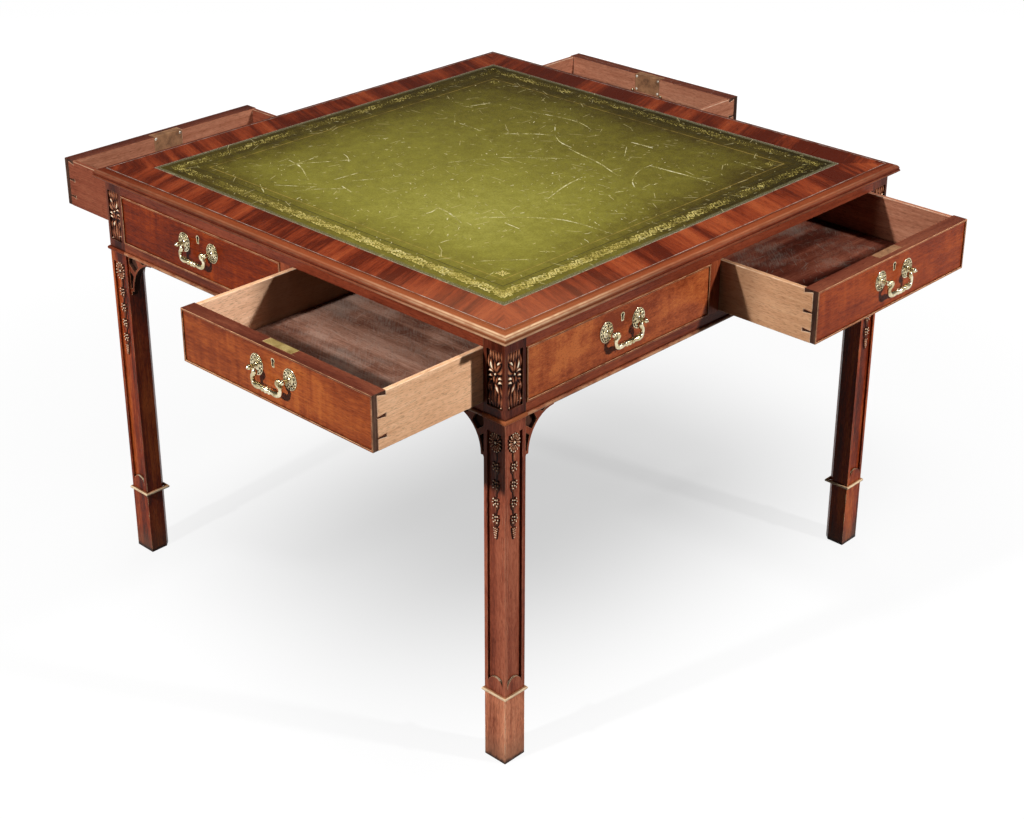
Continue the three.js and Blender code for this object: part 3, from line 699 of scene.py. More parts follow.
def leatherFinish(look):
    finish = Finish("oliveHide", Specular_IOR_Level=0.02)
    fade, mix, join, noise = finish.fade, finish.mix, finish.join, finish.noise
    x, y = finish.place(2)
    inset = look["half"] - abs(x).larger(abs(y))
    cloud = noise(join(x * 3.2, y * 3.2, 1.7), 4.0, 0.55)
    mottle = noise(join(x * 55, y * 55, 0.4), 3.0, 0.6)
    grit = noise(join(x * 330, y * 330, 3.4), 2.0, 0.6)
    grain = finish.node("ShaderNodeTexVoronoi", {"feature": "F1"}, {"Vector": join(x * 900, y * 900, 0.0)})
    # paler round a spot near the front where people sit and write, darker towards the edges and the back right with
    # polish: partly wear, partly a painted pool of light
    away = ((x - look["palest"][0]) ** 2 + (y - look["palest"][1]) ** 2) ** 0.5
    margin = fade(nearFront(x, y), 0.0, 0.6, 0.34, 0.8)
    inner = fade(inset + (cloud - 0.5) * 0.06, -0.01, 0.15)
    tone = (0.94 - away * look["fall"]) * (margin + inner * (1 - margin))
    tone = tone - fade((x + y) * 0.8, 0.02, 0.56, 0.0, 0.15)
    tone = tone + (cloud - 0.5) * 0.42 + (mottle - 0.5) * 0.40 + (grit - 0.5) * 0.42
    colour = finish.ramp(tone / 1.1, [(place / 1.1, shade) for place, shade in look["tones"]])
    # stippled strip along the edge
    speck = noise(join(x * 420, y * 420, 2.0), 2.0, 0.7)
    rim = fade(inset + (mottle - 0.5) * 0.006, look["rim"] * 0.8, look["rim"] * 1.15, 1.0, 0.0)
    rimColour = finish.ramp(speck, [(0.36, look["rimDark"]), (0.5, look["rimMiddle"]), (0.62, look["rimPale"])])
    colour = mix(rim * 0.7, colour, rimColour)
    lip = fade(inset, 0.0009, 0.0024, 1.0, 0.0) * fade(speck, 0.42, 0.52)
    colour = mix(lip * 0.85, colour, look["lip"])
    # what is left of the gilding between the tooled lines of the band
    offBand = abs(inset - look["bandMiddle"])
    band = fade(offBand, look["bandHalf"] * 0.86, look["bandHalf"] * 1.02, 1.0, 0.0)
    kept = fade(away, 0.25, 0.75, 1.0, 0.06) * fade(nearFront(x, y), 0.1, 0.5, 0.35, 1.0)
    kept = kept * fade(mottle + (cloud - 0.5) * 0.8, 0.36, 0.56, 0.3, 1.0)
    colour = mix(band * kept * fade(grit, 0.42, 0.56) * 0.62, colour, look["giltDust"])
    # blind line, pressed dark, and a fine gold line
    offLine = inset - look["blindLine"]
    blind = fade(abs(offLine), 0.0007, 0.0016, 1.0, 0.0) * fade(mottle, 0.3, 0.5, 0.45, 1.0)
    blind = blind.larger(fade(abs(offLine + 0.0042), 0.0002, 0.0009, 0.6, 0.0))
    blind = blind.larger(fade(abs(offBand - look["bandHalf"] - 0.0012), 0.0004, 0.0012, 0.5, 0.0))
    colour = mix(blind * 0.75, colour, look["dark"])
    gilt = fade(abs(inset - look["goldLine"]), 0.0005, 0.0010, 1.0, 0.0)
    gilt = gilt * fade(mottle + cloud * 0.6, 0.6, 0.9, 0.35, 1.0)
    colour = mix(gilt * 0.7, colour, look["gold"])
    # scratches and rubbed specks
    marks = scratched(finish, x, y, "hideLong", "hideShort")
    worn = marks * fade(mottle, 0.34, 0.5, 0.3, 0.9)
    colour = mix(worn * 0.7, colour, look["scratch"])
    height = mottle * 0.3 - grain * 0.35 - blind * 2.0 - marks * 0.8
    finish.surface(
        Base_Color=colour, Roughness=0.46 + (mottle - 0.5) * 0.2 + rim * 0.1 + worn * 0.15,
        Normal=finish.bump(height, 0.0003, 0.55),
    )
    return finish.material


scuffPlan = {                                          # millimetres from the middle of the table
    "lines": [
        ([(-275, 195), (-262, 232), (-258, 245)], 2.4),
        ([(-290, -240), (-258, -245), (-230, -257), (-200, -275)], 2.6),
        ([(-267, -190), (-264, -225), (-266, -268)], 1.8), ([(-290, -285), (-250, -222), (-210, -165)], 1.2),
        ([(145, -215), (170, -185), (200, -155), (228, -133), (260, -114), (300, -106), (360, -103)], 2.2),
        ([(65, -218), (100, -222), (150, -240)], 2.6),
        ([(30, 155), (70, 145), (120, 135), (160, 120), (190, 108)], 3.2), ([(-38, 192), (-5, 170), (30, 162)], 2.2),
        ([(195, 195), (200, 150), (225, 105), (255, 80)], 1.6),
        ([(195, 188), (235, 191), (290, 195), (348, 196)], 2.4), ([(148, 60), (155, 10), (175, -55)], 2.2),
        ([(-262, 152), (-215, 105)], 1.8), ([(-215, 117), (-180, 116), (-150, 112)], 1.6),
        ([(-115, 128), (-70, 170), (-40, 188)], 2.4), ([(-80, 238), (-53, 208)], 1.4),
        ([(-175, 255), (-100, 275), (-50, 276), (-10, 262)], 1.6), ([(-210, -340), (-180, -318), (-150, -295)], 1.4),
        ([(-155, -250), (-152, -218), (-150, -190)], 1.8), ([(-130, -235), (-105, -195), (-85, -155)], 1.2),
        ([(90, 260), (115, 262), (140, 262)], 2.6), ([(280, -340), (310, -305), (340, -270)], 1.8),
        ([(-230, -355), (-195, -375)], 2.0), ([(100, 235), (130, 195)], 1.4), ([(290, 310), (355, 310)], 1.8),
        ([(-40, 20), (20, 75), (80, 125)], 1.3), ([(-165, -340), (-140, -300), (-110, -270)], 1.3),
        ([(70, -215), (78, -240), (72, -262)], 1.6), ([(-80, -60), (-45, 5)], 1.0), ([(188, -300), (185, -330)], 1.4),
        ([(-122, -262), (-88, -270)], 1.8), ([(200, -190), (235, -192)], 2.2),
        ([(-243, -150), (-222, -158), (-204, -172)], 1.5), ([(330, -345), (338, -378)], 2.2),
    ],
    "flecks": 620, "lift": 0.00003, "thick": 0.00006, "clear": 0.012, "longest": 0.022,
}


def scuffFinish():
    finish = Finish("scuffedHide", Roughness=0.7, Specular_IOR_Level=0.05)
    x, y = finish.place(2)
    crumb = finish.noise(finish.join(x * 380, y * 380), 2.0, 0.7)
    broad = finish.noise(finish.join(x * 40, y * 40, 4.0), 2.0, 0.6)
    colour = finish.ramp(broad, [(0.36, (0.42, 0.36, 0.12)), (0.5, (0.63, 0.56, 0.24)), (0.64, (0.88, 0.82, 0.54))])
    finish.surface(Base_Color=colour, Alpha=finish.fade(crumb * 0.55 + broad * 0.5, 0.40, 0.60, 0.0, 0.9))
    return finish.material


def makeScuffs(plan):
    chance = np.random.default_rng(11)
    work = bmesh.new()
    lift, thick = tableHeight + plan["lift"], plan["thick"]
    for line, width in plan["lines"]:
        line = [(u * mm, v * mm) for u, v in line]
        straight = [tuple(Vector(line[0]).lerp(Vector(line[1]), k / 6)) for k in range(7)]
        run = smoothRun(line, 5) if len(line) > 2 else straight
        swell = [0.25 + 0.75 * math.sin(math.pi * (k + 0.4) / (len(run) - 0.2)) for k in range(len(run))]
        stripInto(work, run, [width * mm * share * chance.uniform(0.75, 1.25) for share in swell], lift, thick)
    for _ in range(plan["flecks"]):
        spot = Vector((chance.normal(0.06, 0.24), chance.normal(-0.10, 0.25)))
        if max(abs(spot.x), abs(spot.y)) > leatherLook["half"] - plan["clear"]:
            continue
        turn = chance.uniform(0, math.pi)
        long = min(chance.exponential(0.0034) + 0.0014, plan["longest"])
        along = Vector((math.cos(turn), math.sin(turn))) * long / 2
        bend = Vector((-along.y, along.x)) * chance.uniform(-0.3, 0.3)
        wide = chance.uniform(0.0008, 0.0020)
        stripInto(work, [spot - along, spot + bend, spot + along], [wide * 0.5, wide, wide * 0.4], lift, thick)
    newPiece("leatherScuffs", outward(work), "table", [scuffFinish()], smoothAngle=20)


def goldFinish():
    finish = Finish("toolingGold", Metallic=0.35)
    x, y = finish.place(2)
    patch = finish.noise(finish.join(x * 26, y * 26), 3.0, 0.65)
    crumb = finish.noise(finish.join(x * 420, y * 420), 2.0, 0.6)
    gone = finish.fade(nearFront(x, y), 0.06, 0.48, 0.15, 0.0)  # thinner and darker away from the front corner
    colour = finish.ramp(patch * 0.6 + crumb * 0.4 - gone * 0.7, [
        (0.36, (0.34, 0.26, 0.05)), (0.47, (0.62, 0.50, 0.125)), (0.6, (0.86, 0.74, 0.30)),
    ])
    finish.surface(
        Base_Color=colour, Roughness=0.4 + crumb * 0.2, Alpha=finish.fade(crumb * 0.6 + patch * 0.5 - gone, 0.38, 0.50),
    )
    return finish.material


def stripInto(work, line, widths, lift, thick):        # a flat ribbon with a top and sides
    line = [Vector(p) for p in line]
    rows = []
    for i, (spot, width) in enumerate(zip(line, widths)):
        along = (line[min(i + 1, len(line) - 1)] - line[max(i - 1, 0)]).normalized()
        side = Vector((-along.y, along.x)) * width / 2
        a, b = spot + side, spot - side
        rows.append([work.verts.new((*p, z)) for p, z in ((a, lift), (a, lift + thick), (b, lift + thick), (b, lift))])
    skin(work, rows)
    work.faces.new(rows[0])
    work.faces.new(rows[-1][::-1])


toolingPlan = {
    "period": 0.0485, "halfWidth": 0.0098, "lift": 0.00002, "thick": 0.00012, "bold": 1.5, "fleuron": 0.0865,
    "ray": [0.0006, 0.0021, 0.0007], "leaf": [0.0008, 0.0034, 0.0006], "spray": [0.0008, 0.0028, 0.0006],
    "leafSpots": [                                     # place in half widths, direction, length
        ((1.0, 0.78), 2.4, 0.5), ((1.5, 0.5), -0.3, 0.55), ((1.9, -0.55), -0.7, 0.6),
        ((1.15, -0.72), -2.3, 0.5), ((2.2, 0.45), 0.9, 0.42), ((0.75, -0.85), 0.1, 0.42),
    ],
    "petals": [(0.0034, 0.0088, 0.0030), (0.0021, 0.0116, 0.0048)],  # start, end and width of the short and the long
    "dot": 0.0013, "dotWidths": [0.0011, 0.0026, 0.0011],
}


def onCircle(turn, radius=1.0):
    return Vector((math.cos(turn), math.sin(turn))) * radius


def curlLine(middle, start, end, first, last, steps):
    made = []
    for k in range(steps + 1):
        r, t = start + (end - start) * k / steps, first + (last - first) * k / steps
        made.append((middle[0] + r * math.cos(t), middle[1] + r * math.sin(t)))
    return made


def toolingMotif(plan):                                # one repeat: rosette, two scrolls and their leaves
    w = plan["halfWidth"]

    def swell(n, peak):
        return [plan["bold"] * peak * (0.25 + 0.75 * math.sin(math.pi * (k + 0.3) / (n - 0.4))) for k in range(n)]

    ribbons = [(curlLine((0, 0), w * 0.62, w * 0.62, 0, 2 * math.pi, 14), [0.0011] * 15)]
    for t in turnSteps(8):
        ray = [(w * share * math.cos(t), w * share * math.sin(t)) for share in (0.12, 0.3, 0.5)]
        ribbons.append((ray, plan["ray"]))
    for s in (-1, 1):
        stem = [(s * w * u, s * w * v) for u, v in ((0.6, -0.3), (1.05, 0.35), (1.5, 0.85), (2.05, 0.8))]
        stem = smoothRun(stem + [(s * plan["period"] / 2, s * w * 0.05)], 3)
        ribbons.append((stem, swell(len(stem), 0.0019)))
        start = -s * 0.6 + (math.pi if s < 0 else 0)
        curl = curlLine((s * w * 1.55, -s * w * 0.15), w * 0.62, w * 0.12, start, start - 5.2, 12)
        ribbons.append((curl, swell(13, 0.0017)))
        for spot, turn, size in plan["leafSpots"]:
            a = Vector((s * spot[0] * w, s * spot[1] * w))
            b = a + onCircle(turn) * size * w * s
            ribbons.append(([a, (a + b) / 2, b], plan["leaf"]))
    work = bmesh.new()
    for line, widths in ribbons:
        stripInto(work, line, widths, plan["lift"], plan["thick"])
    return meshOf(outward(work), "toolingMotif", 20)


def borderTree():                                      # repeats an object along a line
    tree = newTree("toolingBorder", {
        "Geometry": "Geometry", "Motif": "Object", "Repeats a side": "Int", "Size": "Float", "Unevenness": "Float",
        "Gold": "Material",
    })
    begin, toCurve, splitLine, aim, wobble, total = addNodes(
        tree, "NodeGroupInput", "GeometryNodeMeshToCurve", "GeometryNodeCurveToPoints",
        "FunctionNodeAlignEulerToVector", "FunctionNodeRandomValue", "ShaderNodeMath",
    )
    aim.axis = "X"
    wobble.data_type = "FLOAT"
    wobble.inputs["Seed"].default_value = 7
    splitLine.mode = "COUNT"
    put = strewn(tree, begin, "Motif", "Gold")
    linkAll(
        tree, (begin, "Geometry", toCurve, "Mesh"), (toCurve, 0, splitLine, "Curve"),
        (begin, "Repeats a side", splitLine, "Count"), (splitLine, "Points", put, "Points"),
        (splitLine, "Tangent", aim, "Vector"), (aim, 0, put, "Rotation"), (begin, "Size", total, 0),
        (begin, "Unevenness", wobble, 3), (wobble, 1, total, 1), (total, 0, put, "Scale"),
    )
    return tree


def makeTooling(plan, gold):
    motif = bpy.data.objects.new("motif", toolingMotif(plan))
    bpy.context.collection.objects.link(motif)
    half = leatherLook["half"] - leatherLook["bandMiddle"]
    repeats = round((half * 2 - plan["period"]) / plan["period"]) + 1
    reach = (repeats - 1) * plan["period"] / 2
    tree = borderTree()
    work = bmesh.new()
    for quarter in range(4):
        side = bpy.data.meshes.new("side")
        ends = [quarterTurn(quarter) @ Vector((x, -half, tableHeight)) for x in (-reach, reach)]
        side.from_pydata(ends, [(0, 1)], [])
        values = {"Motif": motif, "Repeats a side": repeats, "Size": 1.0, "Unevenness": 0.04, "Gold": gold}
        work.from_mesh(grown(tree, side, values))
    bpy.data.objects.remove(motif)
    lift, thick = tableHeight + plan["lift"], plan["thick"]
    w = plan["halfWidth"]
    for quarter in range(4):                           # leaf spray in the corner of the band, fleuron inside it
        part = bmesh.new()
        corner = Vector((half - w * 0.9, -half + w * 0.9))
        for k in range(7):
            way = onCircle(-math.radians(45 + (k - 3) * 24))
            a, b = corner + way * w * 0.5, corner + way * w * (1.9 if k == 3 else 1.5)
            stripInto(part, [a, a.lerp(b, 0.6), b], plan["spray"], lift, thick)
        spot = Vector((1, -1)) * (leatherLook["half"] - plan["fleuron"])
        for k, turn in enumerate(turnSteps(8)):        # petals by turns short and long round a dot
            inner, outer, wide = plan["petals"][k % 2]
            line = [spot + onCircle(turn, r) for r in (inner, inner * 0.45 + outer * 0.55, outer)]
            stripInto(part, line, [wide * 0.4, wide, wide * 0.2], lift, thick)
        dot = Vector((plan["dot"], 0))
        stripInto(part, [spot - dot, spot, spot + dot], plan["dotWidths"], lift, thick)
        part.transform(quarterTurn(quarter))
        shape = bpy.data.meshes.new("corner")
        part.to_mesh(shape)
        part.free()
        work.from_mesh(shape)
    newPiece("giltTooling", outward(work), "table", [gold], smoothAngle=20)


dress("leather_top", leatherFinish(leatherLook))
makeTooling(toolingPlan, goldFinish())
makeScuffs(scuffPlan)
print("leather tooled")


# top: crossbanded board, pale line, edge moulding

dress("top_board", crossWood)

topPlan = {
    "inner": 0.4905, "width": 0.0195, "thick": 0.0225, "lineWidth": 0.0010, "lineProud": 0.00012, "lineDeep": 0.0006,
    "runs": [
        [(0, 0), (0.25, 0)],
        [(0.27, 0.055), (0.36, 0.06), (0.46, 0.075), (0.62, 0.115), (0.8, 0.2), (0.905, 0.32), (0.94, 0.44)],
        [(0.885, 0.475), (0.93, 0.495), (0.975, 0.54), (1, 0.6), (0.97, 0.665), (0.91, 0.70)],
        [(0.83, 0.72), (0.77, 0.79), (0.66, 0.845), (0.5, 0.87), (0.43, 0.93), (0.4, 1)], [(0, 1)],
    ],
    "wornShares": [(0.70, 0.15, 0.85), (0.86, 0.26, 0.55), (1.0, 0.6, 0.5)], "wornReach": 0.13,
}


def squareRing(profile, wearOf=lambda r, z: 0.0):      # profile of (half width, height), counter-clockwise
    work = bmesh.new()
    wear = work.verts.layers.float.new("wear")
    rings = []
    for r, z in profile:
        rings.append([work.verts.new((sx * r, sy * r, z)) for sx, sy in cornerSigns])
        for vertex in rings[-1]:
            vertex[wear] = wearOf(r, z)
    skin(work, rings + rings[:1])
    return outward(work)


def paleWood():
    finish = Finish("paleInlay")
    x, y = finish.place(2)
    fleck = finish.noise(finish.join(x * 60, y * 60, 0.0), 3.0, 0.7)
    colour = finish.ramp(fleck, [(0.36, (0.12, 0.07, 0.045)), (0.47, (0.26, 0.20, 0.155)), (0.6, (0.45, 0.40, 0.34))])
    finish.surface(Base_Color=colour, Roughness=0.38 + fleck * 0.15)
    return finish.material


def makeMoulding(plan):
    shares = []
    for run in plan["runs"]:
        shares += smoothRun(run, 4) if len(run) > 2 else run
    profile = [(plan["inner"] + a * plan["width"], tableHeight - b * plan["thick"]) for a, b in shares]

    # pale bands on the shoulder of the roll and on the bead: wear and a painted highlight
    def wearOf(r, z):
        a, b = (r - plan["inner"]) / plan["width"], (tableHeight - z) / plan["thick"]
        reach = plan["wornReach"]
        return max(strength * max(0, 1 - math.hypot(a - u, b - v) / reach) for u, v, strength in plan["wornShares"])

    newPiece("edgeMoulding", squareRing(profile, wearOf), "table", [ringWood], ["edge_moulding"], smoothAngle=35)
    r, w = plan["inner"], plan["lineWidth"] / 2
    low, high = tableHeight - plan["lineDeep"], tableHeight + plan["lineProud"]
    newPiece("paleLine", squareRing([(r - w, low), (r + w, low), (r + w, high), (r - w, high)]), "table", [paleWood()])


makeMoulding(topPlan)
print("top done")


# legs, rails, brackets

legPlan = {
    "panelLow": 0.642, "panelOuter": 0.489, "ground": 0.4905, "foot": 0.128, "neck": 0.627, "proud": 0.0004,
    "bead": (0.61, 0.63), "ledge": (0.13, 0.16), "ledgeSlope": 0.12,
}


def makeLegs(plan):
    for corner in corners:
        work = softCopy(f"leg_{corner}", 0, flatten=False)
        for face in work.faces:
            spot = face.calc_center_median()
            outside = max(abs(spot.x), abs(spot.y)) > friezeHalf + plan["proud"]
            # the upward faces of the arch ledges take ledgeWood, pale with wear and a painted highlight
            if plan["ledge"][0] < spot.z < plan["ledge"][1] and face.normal.z > plan["ledgeSlope"]:
                face.material_index = 4
            elif outside and plan["bead"][0] < spot.z < plan["bead"][1]:
                face.material_index = 1
            else:
                face.material_index = 2 if spot.z < plan["foot"] else 3 * (spot.z > plan["neck"])
        shaft, foot = (fadedZ, footZ) if corner == "southeast" else (deepZ, deepZ)
        newPiece(f"post_{corner}", work, "table", [shaft, ringWood, foot, postZ, ledgeZ], [f"leg_{corner}"])


collarPlan = {
    "half": 0.0225, "centre": 0.472, "middle": 127.75, "bright": (-0.0015, 0.0025), "wear": 1.3,
    "outline": [(-0.3, -3.0), (1.9, -2.9), (3.2, -2.2), (3.9, -1.0), (3.9, 0.9), (3.3, 2.0), (2.1, 2.9), (-0.3, 3.0)],
}


def makeCollars(plan):
    profile = [(plan["half"] + out * mm, (plan["middle"] + up) * mm) for out, up in plan["outline"]]
    low, high = plan["bright"]
    work = squareRing(profile, lambda r, z: plan["wear"] if low < z - plan["middle"] * mm < high else 0.0)
    mesh = meshOf(work, "collar", 40)
    for corner, (sx, sy) in zip(corners, cornerSigns):
        place = Matrix.Translation((sx * plan["centre"], sy * plan["centre"], 0))
        newPiece(f"collar_{corner}", moved(mesh, place), "table", [collarRing])


railPlan = {
    "end": 0.4492, "back": 0.4725, "low": 0.620, "lowTop": 0.642, "highLow": 0.735, "top": 0.7522, "muntin": 0.013,
    "beadTall": 0.007, "beadProud": 0.004, "beadSunk": 0.001, "beadWear": 0.75, "round": 0.0007,
}


def makeRails(plan):
    work = bmesh.new()
    f, b, e, m = -friezeHalf, -plan["back"], plan["end"], plan["muntin"]
    boardInto(work, (-e, f, plan["low"]), (e, b, plan["lowTop"]), 0)
    boardInto(work, (-e, f, plan["highLow"]), (e, b, plan["top"]), 2)
    boardInto(work, (-m, f, plan["lowTop"]), (m, b, plan["highLow"]), 1)
    roundEdges(work, plan["round"], 2)
    wear = work.verts.layers.float.get("wear")
    low, tall, proud, hidden = plan["low"], plan["beadTall"], plan["beadProud"], f + plan["beadSunk"]
    turns = [math.radians(-80 + 16 * k) for k in range(11)]
    arc = [(f - proud * max(0.0, math.cos(t)) ** 0.7, low + tall * (0.5 + 0.5 * math.sin(t))) for t in turns]
    outline = [(hidden, low), *arc, (hidden, low + tall)]
    ends = [[work.verts.new((x, y, z)) for y, z in outline] for x in (-e, e)]
    # the bead's crest painted pale: wear and a painted highlight
    for vertex, (y, z) in zip(ends[0] + ends[1], outline * 2):
        vertex[wear] = plan["beadWear"] * max(0.0, (f - y) / proud) ** 2
    skin(work, ends)
    work.faces.new(ends[0])
    work.faces.new(ends[1][::-1])
    mesh = meshOf(outward(work), "rails", 40)
    for side, quarter in sides.items():
        woods = [showY, showZ, upperY] if quarter % 2 else [showX, showZ, upperX]
        newPiece(f"rails_{side}", moved(mesh, quarterTurn(quarter)), "table", woods, [f"rail_frame_{side}"])


bracketPlan = {"round": 0.0006, "deepest": 0.4830, "face": 0.4905, "sunk": 0.0009}


def makeBrackets(plan):
    for side, quarter in sides.items():
        for hand in ("left", "right"):
            work = softCopy(f"bracket_{side}_{hand}", plan["round"], 2)
            paintFaces(work, quarter, lambda way, spot: plan["deepest"] < -spot.y < plan["face"] - plan["sunk"])
            newPiece(f"fret_{side}_{hand}", work, "table", [showZ, groundWood], [f"bracket_{side}_{hand}"])


makeLegs(legPlan)
makeCollars(collarPlan)
makeRails(railPlan)
makeBrackets(bracketPlan)
guides = softCopy("guide_frame", width=0.0005, segments=1, flatten=False)
newPiece("drawerGuides", guides, "table", [carcassX], ["guide_frame"])
print("legs, rails and brackets done")


# carving: heights worked out on a fine grid from tapered strokes

carvePlan = {
    "cell": 0.5, "wide": 32.5, "friezeTall": 94.0, "friezeLift": 0.2, "pendantLow": 0.410, "pendantTall": 190.0,
    "pendantLift": -0.25, "least": 0.02, "roundness": 0.42, "vein": 0.2, "skirt": 0.06, "skirtWide": 0.8,
}


def bezier(a, b, c, steps=9):
    shares = [k / steps for k in range(steps + 1)]
    return [tuple((1 - t) ** 2 * p + 2 * t * (1 - t) * q + t * t * r for p, q, r in zip(a, b, c)) for t in shares]


def blade(a, b, c, radius, top, vein=0.0):             # a leaf, pointed at both ends
    line = bezier(a, b, c)
    n = len(line) - 1
    widths = [radius * (0.22 + 0.78 * math.sin(math.pi * (0.06 + 0.86 * k / n))) for k in range(n + 1)]
    tops = [top * (0.65 + 0.35 * math.sin(math.pi * k / n)) for k in range(n + 1)]
    return [(u, v, width, high, vein) for (u, v), width, high in zip(line, widths, tops)]


def ball(u, v, radius, top):
    return [(u, v, radius, top, 0.0), (u + 0.01, v, radius, top, 0.0)]


friezePlan = {                                         # millimetres; u from the leg's corner inwards, v upwards
    "leaves": [                                        # start, bend, tip, half width, height, vein
        ((16, 0), (17, 18), (16, 36), 3.3, 3.1, 0.9), ((12, 0), (8, 12), (9, 26), 3.1, 2.9, 0.9),
        ((20, 0), (24, 12), (22, 28), 3.1, 2.9, 0.9), ((6, 0), (2.5, 10), (4, 22), 2.8, 2.7, 0.7),
        ((27, 0), (30, 10), (28, 24), 2.8, 2.7, 0.7), ((9, 24), (11, 33), (17, 38), 2.9, 3.9, 0.6),
        ((23, 24), (26, 31), (24, 39), 2.7, 3.0, 0.8), ((3, 21), (2.6, 29), (7, 37), 2.5, 3.0, 0.7),
        ((30, 24), (31, 33), (27.5, 42), 2.3, 2.9, 0.6), ((2.4, 50), (6, 53.5), (10, 48), 2.6, 4.2, 0.0),
        ((2.2, 43), (6, 46.5), (10, 41), 2.6, 4.2, 0.0), ((12, 52), (13, 46), (15.5, 40), 2.4, 3.0, 0.7),
        ((19, 52), (19, 46), (19.5, 40), 2.2, 3.0, 0.7), ((22, 50.5), (26, 53), (30.4, 48.5), 2.4, 3.9, 0.3),
        ((22, 45), (26, 45), (30.4, 42.5), 1.9, 3.2, 0.4), ((20, 57), (25, 62.5), (30.4, 57), 2.4, 3.9, 0.3),
        ((12.5, 57), (2, 58), (2.6, 70), 3.2, 3.2, 0.9), ((14, 59), (12, 66), (5.5, 73), 2.6, 3.2, 0.8),
        ((16.5, 59), (16, 66), (18, 76), 2.9, 3.1, 0.9), ((20, 61), (25.5, 67), (24.5, 78), 2.8, 4.1, 0.6),
        ((29, 62), (31, 72), (29, 84), 2.2, 3.0, 0.6), ((12.4, 69.5), (9, 76), (4, 78), 2.4, 4.1, 0.4),
        ((4, 78), (2.4, 86), (5, 93.4), 2.4, 3.0, 0.7), ((9, 78), (8, 87), (10.5, 93.4), 2.5, 3.0, 0.7),
        ((14, 75), (13, 84), (16, 93.4), 2.6, 3.1, 0.8), ((20, 77), (19, 86), (21.5, 93.4), 2.6, 3.0, 0.8),
        ((25.5, 79), (24.5, 87), (26.5, 93.4), 2.4, 3.2, 0.7),
    ],
    "balls": [(15.6, 55.4, 2.3, 4.4), (4, 3, 1.9, 3.9), (28.5, 11, 1.8, 3.9), (23, 9, 1.5, 3.8), (27, 35, 1.4, 3.6)],
}
pendantPlan = {                                        # millimetres over the floor; reach is from the middle line
    "low": 410.0, "middle": 16.25, "rosette": 583, "petals": 15, "stem": (566, 560, 549), "tip": (437, 427, 415),
    "clusters": [(547, 516), (516, 485), (485, 456), (456, 436)],
    "rows": [(0, 4.2), (5.6, 5.2), (11.0, 3.6)],       # drop and reach of a cluster's berries
    "tail": 434,
}


def pendantStrokes(plan):                              # a rosette, then clusters of berries between dark husks
    mid, low = plan["middle"], plan["low"]
    z = plan["rosette"] - low
    s = []

    def husk(steps, *shape):
        s.append(blade(*((mid, high - low) for high in steps), *shape))

    for t in turnSteps(plan["petals"], 0.5):
        c, d = math.cos(t), math.sin(t)
        spots = [(mid + across * c, z + up * d) for across, up in ((4.6, 5.6), (8.5, 11), (12.6, 17.2))]
        s += [blade(*spots, 1.75, 3.2, 0.4), ball(mid + 11.2 * c, z + 15.4 * d, 1.55, 4.1)]
    s.append(ball(mid, z, 3.0, 4.2))
    s += [ball(mid + 5.0 * math.cos(t), z + 6.2 * math.sin(t), 0.9, 3.6) for t in turnSteps(10)]
    husk(plan["stem"], 2.6, 2.7, 0.5)
    for top, below in plan["clusters"]:
        v = top - low
        for row, (drop, reach) in enumerate(plan["rows"]):
            s += [ball(mid + h * reach, v - drop, 1.75, 4.0) for h in (-1, 1)]
            s += [ball(mid, v - drop - 1.6, 1.7, 4.2)] if row < 2 else []
        s.append(blade((mid, v - 3), (mid + 0.4, v - 14), (mid, below - low + 1), 2.5, 2.4, 0.4))
        for h in (-1, 1):
            s.append(blade((mid + h * 4.5, v - 6), (mid + h * 5.6, v - 12), (mid + h * 2.4, v - 18), 1.5, 2.3))
    husk(plan["tip"], 3.6, 2.6)
    for k in range(5):
        v = plan["tail"] - low - 4.0 * k
        s += [ball(mid + h * (3.4 - 0.55 * k), v, 1.35, 3.9 - 0.1 * k) for h in (-1, 0.1, 1)]
    return s


def heights(strokes, plan, tall, cell):
    us, vs = np.arange(0, plan["wide"] + cell / 2, cell), np.arange(0, tall + cell / 2, cell)
    field = np.zeros((len(vs), len(us)))
    for stroke in strokes:
        for (u0, v0, r0, h0, g), (u1, v1, r1, h1, _) in zip(stroke, stroke[1:]):
            reach = max(r0, r1) + cell
            i0, i1 = np.searchsorted(us, (min(u0, u1) - reach, max(u0, u1) + reach))
            j0, j1 = np.searchsorted(vs, (min(v0, v1) - reach, max(v0, v1) + reach))
            if i0 >= i1 or j0 >= j1:
                continue
            u, v = np.meshgrid(us[i0:i1], vs[j0:j1])
            du, dv = u1 - u0, v1 - v0
            t = np.clip(((u - u0) * du + (v - v0) * dv) / (du * du + dv * dv), 0, 1)
            away = np.hypot(u - u0 - t * du, v - v0 - t * dv)
            r = r0 + t * (r1 - r0)
            q = np.clip(1 - (away / r) ** 2, 0, None)
            h = (h0 + t * (h1 - h0)) * q ** plan["roundness"]
            h = h - g * np.exp(-(away / (plan["vein"] * r)) ** 2) * (q > 0)
            # a thin low skirt round each leaf, coloured near black as painted shade at its foot
            h = np.maximum(h, plan["skirt"] * (away < r + plan["skirtWide"]))
            field[j0:j1, i0:i1] = np.maximum(field[j0:j1, i0:i1], h)
    return us, vs, field


def carveInto(work, grid, spotOf, keepGround, groundLift):
    us, vs, field = grid
    least, top = carvePlan["least"], field.max()
    relief = work.verts.layers.float.get("relief") or work.verts.layers.float.new("relief")
    keep = np.ones_like(field, bool) if keepGround else field > least
    if not keepGround:                                 # one cell more all round, sunk under the ground
        wider = keep.copy()
        wider[1:] |= keep[:-1]
        wider[:-1] |= keep[1:]
        wider[:, 1:] |= wider[:, :-1].copy()
        wider[:, :-1] |= wider[:, 1:].copy()
        keep = wider
    verts = {}
    for j, i in np.argwhere(keep):
        h = field[j, i]
        verts[j, i] = work.verts.new(spotOf(us[i], vs[j], h if h > least else groundLift))
        verts[j, i][relief] = h / top
    for (j, i), vertex in verts.items():
        others = [verts.get((j, i + 1)), verts.get((j + 1, i + 1)), verts.get((j + 1, i))]
        if all(others):
            work.faces.new((vertex, *others))


